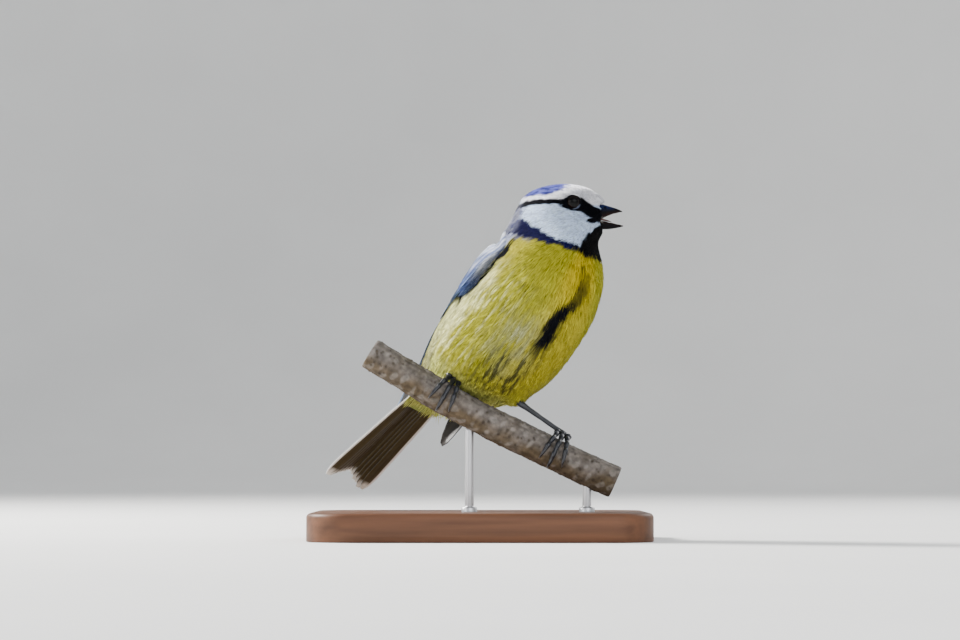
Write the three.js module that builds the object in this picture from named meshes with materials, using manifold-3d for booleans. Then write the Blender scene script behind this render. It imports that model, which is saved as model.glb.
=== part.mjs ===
// A blue tit at life size, singing on a short cut length of branch, on a plain display stand.
// Millimetres, +Z up. +X runs to the right of the view that the bird is posed for and +Y away from it.
// The origin is the centre of the stand's underside.
import * as THREE from "three";
import { mergeVertices } from "three/addons/utils/BufferGeometryUtils.js";
import Module from "manifold-3d";

const wasm = await Module();
wasm.setup();

const vec = (x, y, z) => new THREE.Vector3(x, y, z);

// Driving dimensions
const GAP = 0.3; // between pieces that touch

// The pose: heading is turned from -Y towards +X, pitch is nose up, roll puts the left side down
const TORSO_AT = { x: 10.3, y: -9, z: 62.6 };
const TORSO_POSE = { heading: 46, pitch: 42, roll: 14 };
const HEAD_AT = { x: 22.2, y: -21, z: 91.8 };
const HEAD_POSE = { heading: 86, pitch: 1, roll: 0 };
const TAIL_POSE = { heading: 55, pitch: 38, roll: 26 };

// Cross-sections of the trunk: how far along and above the torso's centre, how far the section leans back,
// and its reach to the belly side, to the back and to each side
const TRUNK = [
  { along: -36, rise: 1.5, lean: 0, belly: 4.2, back: 3.4, side: 6.0 },
  { along: -28, rise: 0.6, lean: 0, belly: 9.8, back: 7.0, side: 12.6 },
  { along: -18, rise: 0.0, lean: 0, belly: 15.8, back: 11.0, side: 16.8 },
  { along: -8, rise: 0.0, lean: 2, belly: 19.8, back: 13.2, side: 18.0 },
  { along: 2, rise: 0.2, lean: 8, belly: 20.6, back: 13.8, side: 17.8 },
  { along: 11, rise: 0.6, lean: 16, belly: 19.8, back: 14.4, side: 17.0 },
  { along: 18, rise: 2.6, lean: 28, belly: 17.4, back: 14.8, side: 16.0 },
];

// Level slices of the neck and head: height over the head's centre, reach to the bill side and to the nape,
// half-width, and how much the slice narrows towards the bill
const HEAD = [
  { height: -10.0, shift: -2.0, fore: 12.6, aft: 14.6, side: 13.0, narrow: 0.1 },
  { height: -5.4, shift: 0, fore: 12.4, aft: 15.4, side: 10.4, narrow: 0.22 },
  { height: -1.4, shift: 0, fore: 11.5, aft: 13.4, side: 9.2, narrow: 0.36 },
  { height: 2.2, shift: 0, fore: 11.4, aft: 11.4, side: 8.5, narrow: 0.42 },
];
const CROWN_RISE = 5.5;
const CROWN_SHIFT = 1.0;

const RING_POINTS = 32;
const RINGS_A_SECTION = 3;

const EYE = { forward: 4.0, up: 1.8, radius: 2.15, proud: 0.75 };
const LID_WIDTH = 0.42;

// The bill's sections in the head's frame: distance forward, top, bottom and half-width
const UPPER_BILL = [
  { forward: 8.4, top: 1.9, bottom: -2.5, side: 1.9 },
  { forward: 11.8, top: 1.65, bottom: -2.1, side: 1.75 },
  { forward: 13.6, top: 1.15, bottom: -1.4, side: 1.3 },
  { forward: 15.8, top: 0.4, bottom: -0.8, side: 0.7 },
  { forward: 17.4, top: -0.35, bottom: -0.6, side: 0.14 },
];
const LOWER_BILL = [
  { forward: 8.4, top: -3.1, bottom: -5.2, side: 1.75 },
  { forward: 11.8, top: -3.1, bottom: -5.3, side: 1.6 },
  { forward: 13.8, top: -3.5, bottom: -5.3, side: 1.15 },
  { forward: 16.0, top: -4.0, bottom: -5.0, side: 0.6 },
  { forward: 17.6, top: -4.4, bottom: -4.65, side: 0.14 },
];
const MOUTH_CORNER = 10.2;
const NOSTRIL = { forward: 12.7, up: 0.75, radius: 0.38 };
const TONGUE = { from: 10.4, to: 14.4, up: -2.5, droop: 0.85, side: 0.75, height: 0.3 };

// The folded wing's ribs in the torso's frame: place along it, centre's rise, reach to the side and to the back,
// and the angles round from the belly at which the wing's lower and upper edges lie
const WING_RIBS = [
  { along: 14, rise: 1.4, side: 16.4, back: 15.2, low: 104, high: 142 },
  { along: 8, rise: 0.6, side: 17.2, back: 15.2, low: 104, high: 156 },
  { along: -5, rise: 0.2, side: 17.3, back: 13.8, low: 106, high: 168 },
  { along: -18, rise: 0.2, side: 16.4, back: 11.6, low: 106, high: 172 },
];
// Over the tail the right wing lies on top and the left one hangs past its edge
const WING_ENDS = {
  right: [
    { along: -30, rise: 2.4, side: 12.4, back: 8.0, low: 100, high: 166 },
    { along: -41, rise: 6.6, side: 9.0, back: 3.4, low: 96, high: 152 },
    { along: -50, rise: 8.2, side: 6.6, back: 2.0, low: 92, high: 140 },
  ],
  left: [
    { along: -30, rise: 1.2, side: 12.0, back: 7.6, low: 96, high: 160 },
    { along: -41, rise: 1.4, side: 8.2, back: 3.4, low: 80, high: 146 },
    { along: -52, rise: -0.8, side: 5.0, back: 2.4, low: 56, high: 140 },
  ],
};
const WING_CORE = 0.95;

// The wing's tiers from the outermost feather to the innermost: how many, where the first and the last one's root and
// tip lie (place along the torso, and across the wing from 0 at its lower edge to 1), half-width and lift
const VANE_THICKNESS = 0.55;
const WING_TIERS = [
  {
    name: "primaries", count: 6, halfWidth: 1.7, lift: 1.0, tilt: 0.32,
    roots: [{ along: 3, across: 0.08 }, { along: 1, across: 0.34 }],
    tips: [{ along: -50.5, across: 0.34 }, { along: -37, across: 0.64 }],
  },
  {
    name: "secondaries", count: 4, halfWidth: 2.2, lift: 1.2, tilt: 0.34,
    roots: [{ along: 2, across: 0.34 }, { along: 2, across: 0.58 }],
    tips: [{ along: -31, across: 0.34 }, { along: -27, across: 0.66 }],
  },
  {
    name: "tertials", count: 3, halfWidth: 2.5, lift: 1.5, tilt: 0.3,
    roots: [{ along: 2, across: 0.62 }, { along: 3, across: 0.84 }],
    tips: [{ along: -25, across: 0.7 }, { along: -13, across: 0.9 }],
  },
  {
    name: "primary_coverts", count: 2, halfWidth: 1.5, lift: 1.4, tilt: 0.26,
    roots: [{ along: 7, across: 0.06 }, { along: 7, across: 0.2 }],
    tips: [{ along: -12, across: 0.07 }, { along: -9, across: 0.2 }],
  },
  {
    name: "greater_coverts", count: 6, halfWidth: 2.0, lift: 1.7, tilt: 0.3,
    roots: [{ along: 8, across: 0.2 }, { along: 8, across: 0.86 }],
    tips: [{ along: -7.5, across: 0.24 }, { along: -5, across: 0.9 }],
  },
  {
    name: "median_coverts", count: 5, halfWidth: 2.3, lift: 2.0, tilt: 0.26,
    roots: [{ along: 12.5, across: 0.16 }, { along: 12.5, across: 0.84 }],
    tips: [{ along: 0.5, across: 0.14 }, { along: 1.5, across: 0.86 }],
  },
];

const TAIL = { root: -24, rise: 5.0, aside: -2.4, length: 54, rootSide: 4.4, tipSide: 8.8, thickness: 1.8 };

// Each half of the tail, from its middle feather outwards: spacing at root and tip, fall of the roof, fork
const TAIL_HALF = { count: 6, rootStep: 0.55, tipStep: 1.22, halfWidth: 2.1, fall: 0.4, fork: 0.75, shortest: 50.5 };

// The branch's middle line, and its thickness
const PERCH_Y = -11;
const PERCH_LINE = [
  [-31, 52.6], [-22.5, 47.35], [-8.5, 39.2], [5.6, 31.6], [19.7, 24.7], [33.8, 18.25], [38, 16.4],
];
const PERCH_RADIUS = 4.7;
const FEET = { right: -10.2, left: 20.6 };
const TOE_RADIUS = 0.66;
const SHANK_RADII = [0.8, 0.68, 0.66, 0.8, 1.0];
const THIGH_RADII = [7.4, 6.8, 5.8, 4.0, 1.8];
const ANKLES = { right: vec(-5.2, -5.4, 48.6), left: vec(11.6, -9, 38.4) };
const KNEES = { right: vec(-2, -3.5, 53.5), left: vec(7.5, -5.5, 46.5) };

const BASE = { length: 96, depth: 72, height: 8, bevel: 1.4, corner: 12 };
const RODS = { x: [-3, 30], radius: 1.25 };

// Materials
const finish = (color, roughness, metalness = 0) =>
  new THREE.MeshStandardMaterial({ color, roughness, metalness });
const MATERIALS = {
  yellow: finish(0xd6c93a, 0.9),
  white: finish(0xe4e8ee, 0.9),
  blue: finish(0x4d7fb5, 0.85),
  eye: finish(0x0d0b0a, 0.1),
  bill: finish(0x23262c, 0.45),
  mouth: finish(0xc98a5a, 0.6),
  leg: finish(0x3f4a5e, 0.55),
  claw: finish(0x2c2c30, 0.4),
  bark: finish(0x8a8078, 0.9),
  wood: finish(0x6d4b33, 0.5),
  steel: finish(0xb5b7ba, 0.3, 1),
};

// Vectors and frames
const rad = THREE.MathUtils.degToRad;
const at = ({ x, y, z }) => vec(x, y, z);

// Forward, left and up of a body part that has this pose.
function axesOf({ heading, pitch, roll }) {
  const h = rad(heading);
  const p = rad(pitch);
  const r = rad(roll);
  const forward = vec(Math.cos(p) * Math.sin(h), -Math.cos(p) * Math.cos(h), Math.sin(p));
  const level = vec(Math.cos(h), Math.sin(h), 0);
  const upright = forward.clone().cross(level);
  const left = level.clone().multiplyScalar(Math.cos(r)).addScaledVector(upright, -Math.sin(r));
  return { forward, left, up: forward.clone().cross(left) };
}

// The point that lies so far forward, left and up of an origin.
function placed(origin, axes, forward, left, up) {
  return origin
    .clone()
    .addScaledVector(axes.forward, forward)
    .addScaledVector(axes.left, left)
    .addScaledVector(axes.up, up);
}

const torsoAxes = axesOf(TORSO_POSE);
const headAxes = axesOf(HEAD_POSE);
const tailAxes = axesOf(TAIL_POSE);
const torsoAt = at(TORSO_AT);
const headAt = at(HEAD_AT);

// Solids
function solidOf(geometry) {
  geometry.deleteAttribute("normal");
  geometry.deleteAttribute("uv");
  const merged = mergeVertices(geometry, 1e-4);
  return new wasm.Manifold(
    new wasm.Mesh({
      numProp: 3,
      vertProperties: new Float32Array(merged.getAttribute("position").array),
      triVerts: new Uint32Array(merged.index.array),
    }),
  );
}

// A closed solid through rings of points, all of one count, with a fan over each end.
function loft(rings) {
  const count = rings[0].length;
  const points = rings.flat();
  const faces = [];
  const middle = (ring) => ring.reduce((sum, p) => sum.add(p), vec(0, 0, 0)).divideScalar(count);
  const first = points.push(middle(rings[0])) - 1;
  const last = points.push(middle(rings[rings.length - 1])) - 1;
  const end = (rings.length - 1) * count;
  for (let i = 0; i < count; i++) {
    const j = (i + 1) % count;
    for (let r = 0; r < rings.length - 1; r++) {
      const a = r * count;
      const b = a + count;
      faces.push(a + i, a + j, b + j, a + i, b + j, b + i);
    }
    faces.push(first, j, i, last, end + i, end + j);
  }
  const closed = (indices) =>
    solidOf(new THREE.BufferGeometry().setFromPoints(points).setIndex(indices));
  const made = closed(faces);
  return made.volume() > 0 ? made : closed(faces.reverse());
}

// A round tube along points, with a radius at each; flat squashes it along the direction given.
function tube(points, radii, sides = 8, flat = { along: vec(0, 0, 1), by: 1 }) {
  const rings = points.map((p, i) => {
    const before = points[Math.max(i - 1, 0)];
    const after = points[Math.min(i + 1, points.length - 1)];
    const along = after.clone().sub(before).normalize();
    const across = along.clone().cross(flat.along).normalize();
    const over = across.clone().cross(along);
    return Array.from({ length: sides }, (_, k) => {
      const turn = (2 * Math.PI * (k + 0.5)) / sides;
      return p
        .clone()
        .addScaledVector(across, radii[i] * Math.cos(turn))
        .addScaledVector(over, radii[i] * Math.sin(turn) * flat.by);
    });
  });
  return loft(rings);
}

// A ball of few faces.
function ball(centre, radius, sides = 12) {
  const geometry = new THREE.SphereGeometry(radius, sides, Math.max(5, sides / 2));
  geometry.rotateX(Math.PI / 2);
  geometry.translate(centre.x, centre.y, centre.z);
  return solidOf(geometry);
}

// A large block on the side of a plane that its normal points to.
function halfSpace(point, normal, size = 120) {
  const geometry = new THREE.BoxGeometry(size, size, size);
  geometry.translate(0, 0, size / 2);
  const turn = new THREE.Quaternion().setFromUnitVectors(vec(0, 0, 1), normal.clone().normalize());
  geometry.applyQuaternion(turn);
  geometry.translate(point.x, point.y, point.z);
  return solidOf(geometry);
}

const joined = (solids) => wasm.Manifold.union(solids);

// The largest closed surface of a solid.
function largest(solid) {
  return solid.decompose().reduce((best, one) => (one.volume() > best.volume() ? one : best));
}

// Smooth interpolation through rows of numbers, at a place counted in rows.
function between(rows, place) {
  const i = Math.min(Math.floor(place), rows.length - 2);
  const f = place - i;
  const row = (k) => rows[THREE.MathUtils.clamp(k, 0, rows.length - 1)];
  const [a, b, c, d] = [row(i - 1), row(i), row(i + 1), row(i + 2)];
  return b.map((_, k) => {
    const slopeB = (c[k] - a[k]) / 2;
    const slopeC = (d[k] - b[k]) / 2;
    const step = c[k] - b[k];
    return (
      b[k] +
      slopeB * f +
      (3 * step - 2 * slopeB - slopeC) * f * f +
      (slopeB + slopeC - 2 * step) * f * f * f
    );
  });
}

// Trunk, neck and head as one surface

// Each row holds a section's centre, normal, belly-side direction, its three reaches and its narrowing.
function trunkRow(s) {
  const lean = rad(s.lean);
  const normal = placed(vec(0, 0, 0), torsoAxes, Math.cos(lean), 0, Math.sin(lean));
  const belly = placed(vec(0, 0, 0), torsoAxes, Math.sin(lean), 0, -Math.cos(lean));
  const centre = placed(torsoAt, torsoAxes, s.along, 0, s.rise);
  return [...centre, ...normal, ...belly, s.belly, s.back, s.side, 0];
}
function headRow(s) {
  const centre = placed(headAt, headAxes, s.shift, 0, s.height);
  return [...centre, ...headAxes.up, ...headAxes.forward, s.fore, s.aft, s.side, s.narrow];
}
const bodyRows = [...TRUNK.map(trunkRow), ...HEAD.map(headRow)];

// The side of every ring that its first point looks to
const seam = torsoAxes.up.clone().negate();

// One ring of the body's surface, grown outwards by a clearance.
function bodyRing(row, grown = 0, scale = 1) {
  const centre = vec(...row.slice(0, 3));
  const normal = vec(...row.slice(3, 6)).normalize();
  const left = normal.clone().cross(vec(...row.slice(6, 9))).normalize();
  const belly = left.clone().cross(normal);
  const across = normal.clone().cross(seam).normalize();
  const start = Math.atan2(across.dot(belly), across.dot(left));
  const [fore, aft, side, narrow] = row.slice(9);
  return Array.from({ length: RING_POINTS }, (_, k) => {
    const turn = (2 * Math.PI * k) / RING_POINTS - start;
    const c = Math.cos(turn);
    const reach = (c > 0 ? fore : aft) * scale + grown;
    const width = (side * scale + grown) * (c > 0 ? 1 - narrow * c ** 2 : 1);
    return centre
      .clone()
      .addScaledVector(belly, reach * c)
      .addScaledVector(left, width * Math.sin(turn));
  });
}

function bodySolid(grown = 0) {
  const rings = [];
  const steps = (bodyRows.length - 1) * RINGS_A_SECTION;
  for (let k = 0; k <= steps; k++) rings.push(bodyRing(between(bodyRows, k / RINGS_A_SECTION), grown));
  const top = bodyRows[bodyRows.length - 1];
  for (const turn of [15, 30, 45, 60, 74, 84]) {
    const rise = Math.sin(rad(turn));
    const lifted = placed(vec(...top.slice(0, 3)), headAxes, CROWN_SHIFT * rise, 0, (CROWN_RISE + grown) * rise);
    rings.push(bodyRing([...lifted, ...top.slice(3)], grown, Math.cos(rad(turn))));
  }
  return loft(rings);
}

// Head details
const headPoint = (forward, left, up) => placed(headAt, headAxes, forward, left, up);

// Where the body's surface lies sideways from a place in the head.
function headHalfWidth(forward, up) {
  const rows = HEAD.map((s) => [s.height, s.shift, s.fore, s.aft, s.side, s.narrow]);
  let place = 0;
  while (place < rows.length - 1 && rows[place + 1][0] < up) place++;
  const f = place < rows.length - 1 ? (up - rows[place][0]) / (rows[place + 1][0] - rows[place][0]) : 0;
  let [, shift, fore, , side, narrow] = between(rows, Math.min(place + f, rows.length - 1));
  const over = Math.max(0, (up - rows[rows.length - 1][0]) / CROWN_RISE);
  const scale = Math.sqrt(Math.max(0, 1 - over * over));
  const c = (forward - shift - CROWN_SHIFT * over) / (fore * scale);
  return side * scale * Math.sqrt(Math.max(0, 1 - c * c)) * (1 - narrow * c * c);
}

function eyeCentre(sideSign) {
  const out = headHalfWidth(EYE.forward, EYE.up) + EYE.proud - EYE.radius;
  return headPoint(EYE.forward, sideSign * out, EYE.up);
}

// A mandible's rings: a ridge above, a straight edge below, grown by a clearance.
function mandible(sections, ridge, grown = 0) {
  const shape = [
    [0, 1], [0.62, 0.62], [1, -0.1], [0.86, -1], [0, -0.86], [-0.86, -1], [-1, -0.1], [-0.62, 0.62],
  ];
  return loft(
    sections.map((s, i) => {
      const middle = (s.top + s.bottom) / 2;
      const half = (s.top - s.bottom) / 2 + grown;
      const ends = i === 0 ? -grown : i === sections.length - 1 ? grown : 0;
      return shape.map(([x, z]) =>
        headPoint(s.forward + ends, x * (s.side + grown), middle + ridge * z * half),
      );
    }),
  );
}

// Points round an ellipse in the head's upright plane, that plane lying at each side.
function lidRing(sideSign) {
  const centre = eyeCentre(sideSign);
  const out = headAxes.left.clone().multiplyScalar(sideSign);
  const rim = EYE.radius * 0.86;
  const points = Array.from({ length: 14 }, (_, k) => {
    const turn = (2 * Math.PI * k) / 14;
    return centre
      .clone()
      .addScaledVector(headAxes.forward, rim * Math.cos(turn) * 1.06)
      .addScaledVector(headAxes.up, rim * Math.sin(turn) * 0.94)
      .addScaledVector(out, Math.sqrt(EYE.radius ** 2 - rim ** 2) - 0.05);
  });
  return ringTube(points, LID_WIDTH);
}

// A closed ring of tube through points.
function ringTube(points, radius, sides = 6) {
  const count = points.length;
  const corners = [];
  const faces = [];
  const middle = points.reduce((sum, p) => sum.add(p), vec(0, 0, 0)).divideScalar(count);
  points.forEach((p, i) => {
    const along = points[(i + 1) % count].clone().sub(points[(i + count - 1) % count]).normalize();
    const outward = p.clone().sub(middle).normalize();
    const over = along.clone().cross(outward).normalize();
    for (let k = 0; k < sides; k++) {
      const turn = (2 * Math.PI * k) / sides;
      corners.push(
        p.clone().addScaledVector(outward, radius * Math.cos(turn)).addScaledVector(over, radius * Math.sin(turn)),
      );
      const a = i * sides + k;
      const b = i * sides + ((k + 1) % sides);
      const c = ((i + 1) % count) * sides + k;
      const d = ((i + 1) % count) * sides + ((k + 1) % sides);
      faces.push(a, c, d, a, d, b);
    }
  });
  const closed = (indices) =>
    solidOf(new THREE.BufferGeometry().setFromPoints(corners).setIndex(indices));
  const made = closed(faces);
  return made.volume() > 0 ? made : closed(faces.reverse());
}

// The branch
const perchCurve = new THREE.CatmullRomCurve3(PERCH_LINE.map(([x, z]) => vec(x, PERCH_Y, z)));
function perchAt(x) {
  let low = 0;
  let high = 1;
  for (let i = 0; i < 30; i++) {
    const middle = (low + high) / 2;
    if (perchCurve.getPoint(middle).x < x) low = middle;
    else high = middle;
  }
  const point = perchCurve.getPoint(low);
  const along = perchCurve.getTangent(low);
  const front = vec(0, -1, 0);
  return { point, along, front, up: along.clone().cross(vec(0, 1, 0)).normalize() };
}

function perchSolid(grown = 0) {
  const steps = 17;
  const ends = 0.35;
  const rings = [];
  for (let i = 0; i <= steps; i++) {
    const x = PERCH_LINE[0][0] + ((PERCH_LINE[6][0] - PERCH_LINE[0][0]) * i) / steps;
    const { point, along, front, up } = perchAt(x);
    const bevel = i === 0 || i === steps ? -ends : 0;
    if (grown) point.addScaledVector(along, i === 0 ? -grown : i === steps ? grown : 0);
    rings.push(
      Array.from({ length: 14 }, (_, k) => {
        const turn = (2 * Math.PI * k) / 14;
        const wobble = 0.12 * Math.sin(3 * turn + i * 0.7) + 0.1 * Math.sin(2 * turn - i * 1.1);
        const radius = PERCH_RADIUS - 0.22 + wobble + bevel + grown;
        return point
          .clone()
          .addScaledVector(up, radius * Math.cos(turn))
          .addScaledVector(front, radius * Math.sin(turn));
      }),
    );
  }
  return loft(rings);
}

// Feet

// The toes of one foot: how far each sets off along the branch, how much it veers, where it starts and ends round the
// branch in degrees from its top towards its front, and its claw's length
const TOES = [
  { name: "inner", set: 1.55, veer: 0.2, from: 14, to: 82, claw: 3.6 },
  { name: "middle", set: 0, veer: 0, from: 14, to: 108, claw: 3.9 },
  { name: "outer", set: -1.55, veer: -0.16, from: 14, to: 88, claw: 3.5 },
  { name: "hind", set: 0.2, veer: 0, from: -26, to: -100, claw: 4.6 },
];
const FOOT_RISE = PERCH_RADIUS + GAP + 0.75;

function toePoint(foot, sign, toe, turnDegrees, height) {
  const turn = rad(turnDegrees);
  const travelled = Math.abs(rad(turnDegrees - toe.from)) * FOOT_RISE;
  return foot.point
    .clone()
    .addScaledVector(foot.up, height * Math.cos(turn))
    .addScaledVector(foot.front, height * Math.sin(turn))
    .addScaledVector(foot.along, sign * (toe.set + toe.veer * travelled));
}

function makeToe(foot, sign, toe, grown = 0) {
  const steps = 8;
  const points = [];
  const radii = [];
  for (let i = 0; i <= steps; i++) {
    const f = i / steps;
    const radius = (TOE_RADIUS - 0.14 * f) * (1 + 0.13 * Math.cos(2 * Math.PI * (3 * f + 0.5)));
    points.push(toePoint(foot, sign, toe, toe.from + (toe.to - toe.from) * f, PERCH_RADIUS + GAP + radius + 0.02));
    radii.push(radius + grown);
  }
  return tube(points, radii, 7, { along: foot.along, by: 1 });
}

function makeClaw(foot, sign, toe, grown = 0) {
  const steps = 4;
  const way = Math.sign(toe.to - toe.from);
  const span = (toe.claw / FOOT_RISE) * (180 / Math.PI) * way;
  const gapTurn = ((GAP + 0.05) / FOOT_RISE) * (180 / Math.PI) * way;
  const points = [];
  const radii = [];
  for (let i = 0; i <= steps; i++) {
    const f = i / steps;
    const lift = 0.5 * Math.sin(Math.PI * f) + 0.1;
    radii.push(0.46 * (1 - f) ** 0.8 + 0.09);
    const height = PERCH_RADIUS + GAP + radii[i] + lift;
    points.push(toePoint(foot, sign, toe, toe.to + gapTurn + span * f, height));
  }
  return tube(points, radii.map((r) => r + grown), 6, { along: foot.along, by: 1.2 });
}

// The foot's end of the shank: a knuckle for each toe.
function footJoint(foot, sign, grown = 0) {
  const knuckles = TOES.map((toe) => {
    const centre = toePoint(foot, sign, toe, toe.from * 0.42, FOOT_RISE + 0.55);
    return ball(centre, 0.82 + grown, 8);
  });
  return joined(knuckles);
}

function shankPoints(foot, ankle) {
  const sole = foot.point.clone().addScaledVector(foot.up, FOOT_RISE + 0.7);
  return [0, 0.12, 0.5, 0.86, 1].map((f) => sole.clone().lerp(ankle, f));
}

function makeThigh(knee, ankle, grown = 0) {
  const points = [0, 0.3, 0.6, 0.85, 1].map((f) => knee.clone().lerp(ankle, f));
  return tube(points, THIGH_RADII.map((r) => r + grown), 12);
}

// The head, neck, torso and rump
const sides = [
  ["right", -1],
  ["left", 1],
];
const thighs = (grown) => sides.map(([side]) => makeThigh(KNEES[side], ANKLES[side], grown));
const footClearance = sides.flatMap(([side, sign]) => {
  const foot = perchAt(FEET[side]);
  const toes = TOES.flatMap((toe) => [makeToe(foot, sign, toe, GAP), makeClaw(foot, sign, toe, GAP)]);
  return [footJoint(foot, sign, GAP), ...toes];
});
const whole = joined([bodySolid(), ...thighs(0)]).subtract(joined([perchSolid(1.2 * GAP), ...footClearance]));
const wholeGrown = joined([bodySolid(1.7 * GAP), ...thighs(1.6 * GAP)]);
const collar = headPoint(0, 0, -6.3);
const shoulder = vec(...bodyRows[TRUNK.length - 1].slice(0, 3));
const shoulderNormal = vec(...bodyRows[TRUNK.length - 1].slice(3, 6));
const hips = placed(torsoAt, torsoAxes, -21, 0, 0);
const above = (point, normal, gap = 0) =>
  halfSpace(point.clone().addScaledVector(normal, gap), normal);
const below = (point, normal, gap = 0) =>
  halfSpace(point.clone().addScaledVector(normal, -gap), normal.clone().negate());

function makeHead() {
  let head = whole.intersect(above(collar, headAxes.up));
  for (const sign of [-1, 1]) head = head.add(lidRing(sign));
  for (const sign of [-1, 1]) head = head.subtract(ball(eyeCentre(sign), EYE.radius + GAP, 16));
  const wedge = loft(
    [-1, 1].map((sign) =>
      [
        [MOUTH_CORNER, -2.5], [16, -1.2], [16, -3.6], [MOUTH_CORNER, -3.1],
      ].map(([f, u]) => headPoint(f, sign * 6, u)),
    ),
  );
  head = head
    .subtract(mandible(UPPER_BILL, 1, GAP))
    .subtract(mandible(LOWER_BILL, -1, GAP))
    .subtract(wedge)
    .subtract(makeTongue(GAP));
  return largest(head);
}

function makeUpperBill() {
  let bill = mandible(UPPER_BILL, 1);
  const { forward, up, radius } = NOSTRIL;
  for (const sign of [-1, 1]) bill = bill.subtract(ball(headPoint(forward, sign * 1.62, up), radius, 8));
  return bill;
}

function makeTongue(grown = 0) {
  const { from, to, up, droop, side, height } = TONGUE;
  const points = [0, 0.35, 0.75, 1].map((f) => headPoint(from + (to - from) * f, 0, up - droop * f * f));
  const radii = [side, side * 0.95, side * 0.7, side * 0.25].map((r) => r + 2 * grown);
  return tube(points, radii, 8, { along: headAxes.up, by: height / side });
}

// The folded wing as a sheet. across runs from its lower edge to its upper one.
function wingPoint(sideSign, along, across, lift = 0) {
  const ribs = [...WING_RIBS, ...WING_ENDS[sideSign > 0 ? "left" : "right"]];
  const rows = ribs.map((r) => [r.along, r.rise, r.side, r.back, r.low, r.high]);
  let place = 0;
  while (place < rows.length - 2 && rows[place + 1][0] > along) place++;
  place += (along - rows[place][0]) / (rows[place + 1][0] - rows[place][0]);
  const [, rise, side, back, low, high] = between(rows, THREE.MathUtils.clamp(place, 0, rows.length - 1));
  const turn = rad(low + (high - low) * across);
  const reach = turn > Math.PI / 2 ? back : back + 2;
  return placed(
    torsoAt,
    torsoAxes,
    along,
    sideSign * (side + lift) * Math.sin(turn),
    rise - (reach + lift) * Math.cos(turn),
  );
}

// A thin slab between two sheets of points, split alike on both faces. Each row runs from edge to edge.
function slab(tops, bottoms) {
  const rows = tops.length;
  const across = tops[0].length;
  const points = [...tops.flat(), ...bottoms.flat()];
  const under = rows * across;
  const faces = [];
  const wall = (b, a) => faces.push(a, b, b + under, a, b + under, a + under);
  for (let r = 0; r < rows - 1; r++) {
    for (let k = 0; k < across - 1; k++) {
      const a = r * across + k;
      const c = a + across;
      faces.push(a, a + 1, c + 1, a, c + 1, c);
      faces.push(a + under, c + 1 + under, a + 1 + under, a + under, c + under, c + 1 + under);
    }
    wall((r + 1) * across, r * across);
    wall(r * across + across - 1, (r + 1) * across + across - 1);
  }
  for (let k = 0; k < across - 1; k++) {
    wall(k, k + 1);
    wall(under - across + k + 1, under - across + k);
  }
  const closed = (indices) =>
    solidOf(new THREE.BufferGeometry().setFromPoints(points).setIndex(indices));
  const made = closed(faces);
  return made.volume() > 0 ? made : closed(faces.reverse());
}

// A vane's outline: width at each place from root to tip.
const VANE = [
  { at: 0, width: 0.7 },
  { at: 0.5, width: 1 },
  { at: 0.88, width: 0.86 },
  { at: 1, width: 0.34 },
];

// A small seeded wobble between -1 and 1, so that no two vanes are alike.
const wobble = (seed) => 2 * ((((Math.sin(seed * 12.9898) * 43758.5453) % 1) + 1) % 1) - 1;

function wingVane(sideSign, tier, root, tip, seed) {
  const tops = [];
  const bottoms = [];
  for (const { at, width } of VANE) {
    const along = root.along + (tip.along - root.along) * at;
    const middle = root.across + (tip.across - root.across) * at;
    const span = wingPoint(sideSign, along, 1).distanceTo(wingPoint(sideSign, along, 0));
    const sunk = 0.5 * (1 - at) ** 2;
    const lifted = tier.lift - sunk + 0.12 * at * (1 + wobble(seed));
    const point = (k, lift) =>
      wingPoint(sideSign, along, middle + (k * width * tier.halfWidth) / Math.max(span, 4), lift);
    const top = (k) => lifted - k * tier.tilt * width + (k === 0 ? 0.12 : 0);
    const thickness = VANE_THICKNESS * (at === 1 ? 0.7 : 1);
    tops.push([-1, 0, 1].map((k) => point(k, top(k))));
    bottoms.push([-1, 0, 1].map((k) => point(k, top(k) - thickness)));
  }
  return slab(tops, bottoms);
}

// The bed that the vanes are rooted in.
function wingCore(sideSign) {
  const steps = 9;
  const end = -30;
  const tops = [];
  const bottoms = [];
  for (let i = 0; i <= steps; i++) {
    const along = WING_RIBS[0].along + ((end - WING_RIBS[0].along) * i) / steps;
    const at = [0.04, 0.2, 0.4, 0.6, 0.8, 0.96];
    tops.push(at.map((k) => wingPoint(sideSign, along, k, WING_CORE)));
    bottoms.push(at.map((k) => wingPoint(sideSign, along, k, -0.3)));
  }
  return slab(tops, bottoms);
}

function makeWing(sideSign) {
  const pieces = [wingCore(sideSign)];
  const mix = (a, b, f) => ({ along: a.along + (b.along - a.along) * f, across: a.across + (b.across - a.across) * f });
  WING_TIERS.forEach((tier, row) => {
    for (let i = 0; i < tier.count; i++) {
      const f = i / (tier.count - 1);
      const seed = 17 * row + i + (sideSign > 0 ? 91 : 0);
      const root = mix(tier.roots[0], tier.roots[1], f);
      const tip = mix(tier.tips[0], tier.tips[1], f);
      tip.along += 0.45 * wobble(seed + 0.5);
      pieces.push(wingVane(sideSign, tier, root, tip, seed));
    }
  });
  return joined(pieces);
}

// The tail
const tailRoot = placed(torsoAt, torsoAxes, TAIL.root, TAIL.aside, TAIL.rise);
const tailPoint = (back, left, up) => placed(tailRoot, tailAxes, -back, left, up);

// The space the tail takes up, for whatever has to stay clear of it.
function tailEnvelope(grown) {
  const { length, rootSide, tipSide, thickness } = TAIL;
  const rings = [0, 0.5, 1].map((f) => {
    const side = rootSide + (tipSide - rootSide) * f + 1 + grown;
    const half = thickness / 2 + 0.4 + grown;
    return [
      [-1, -0.5], [0, 1], [1, -0.5], [1, -1.6], [0, -1], [-1, -1.6],
    ].map(([x, z]) => tailPoint((length + 1) * f, x * side, z * half));
  });
  return loft(rings);
}

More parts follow.
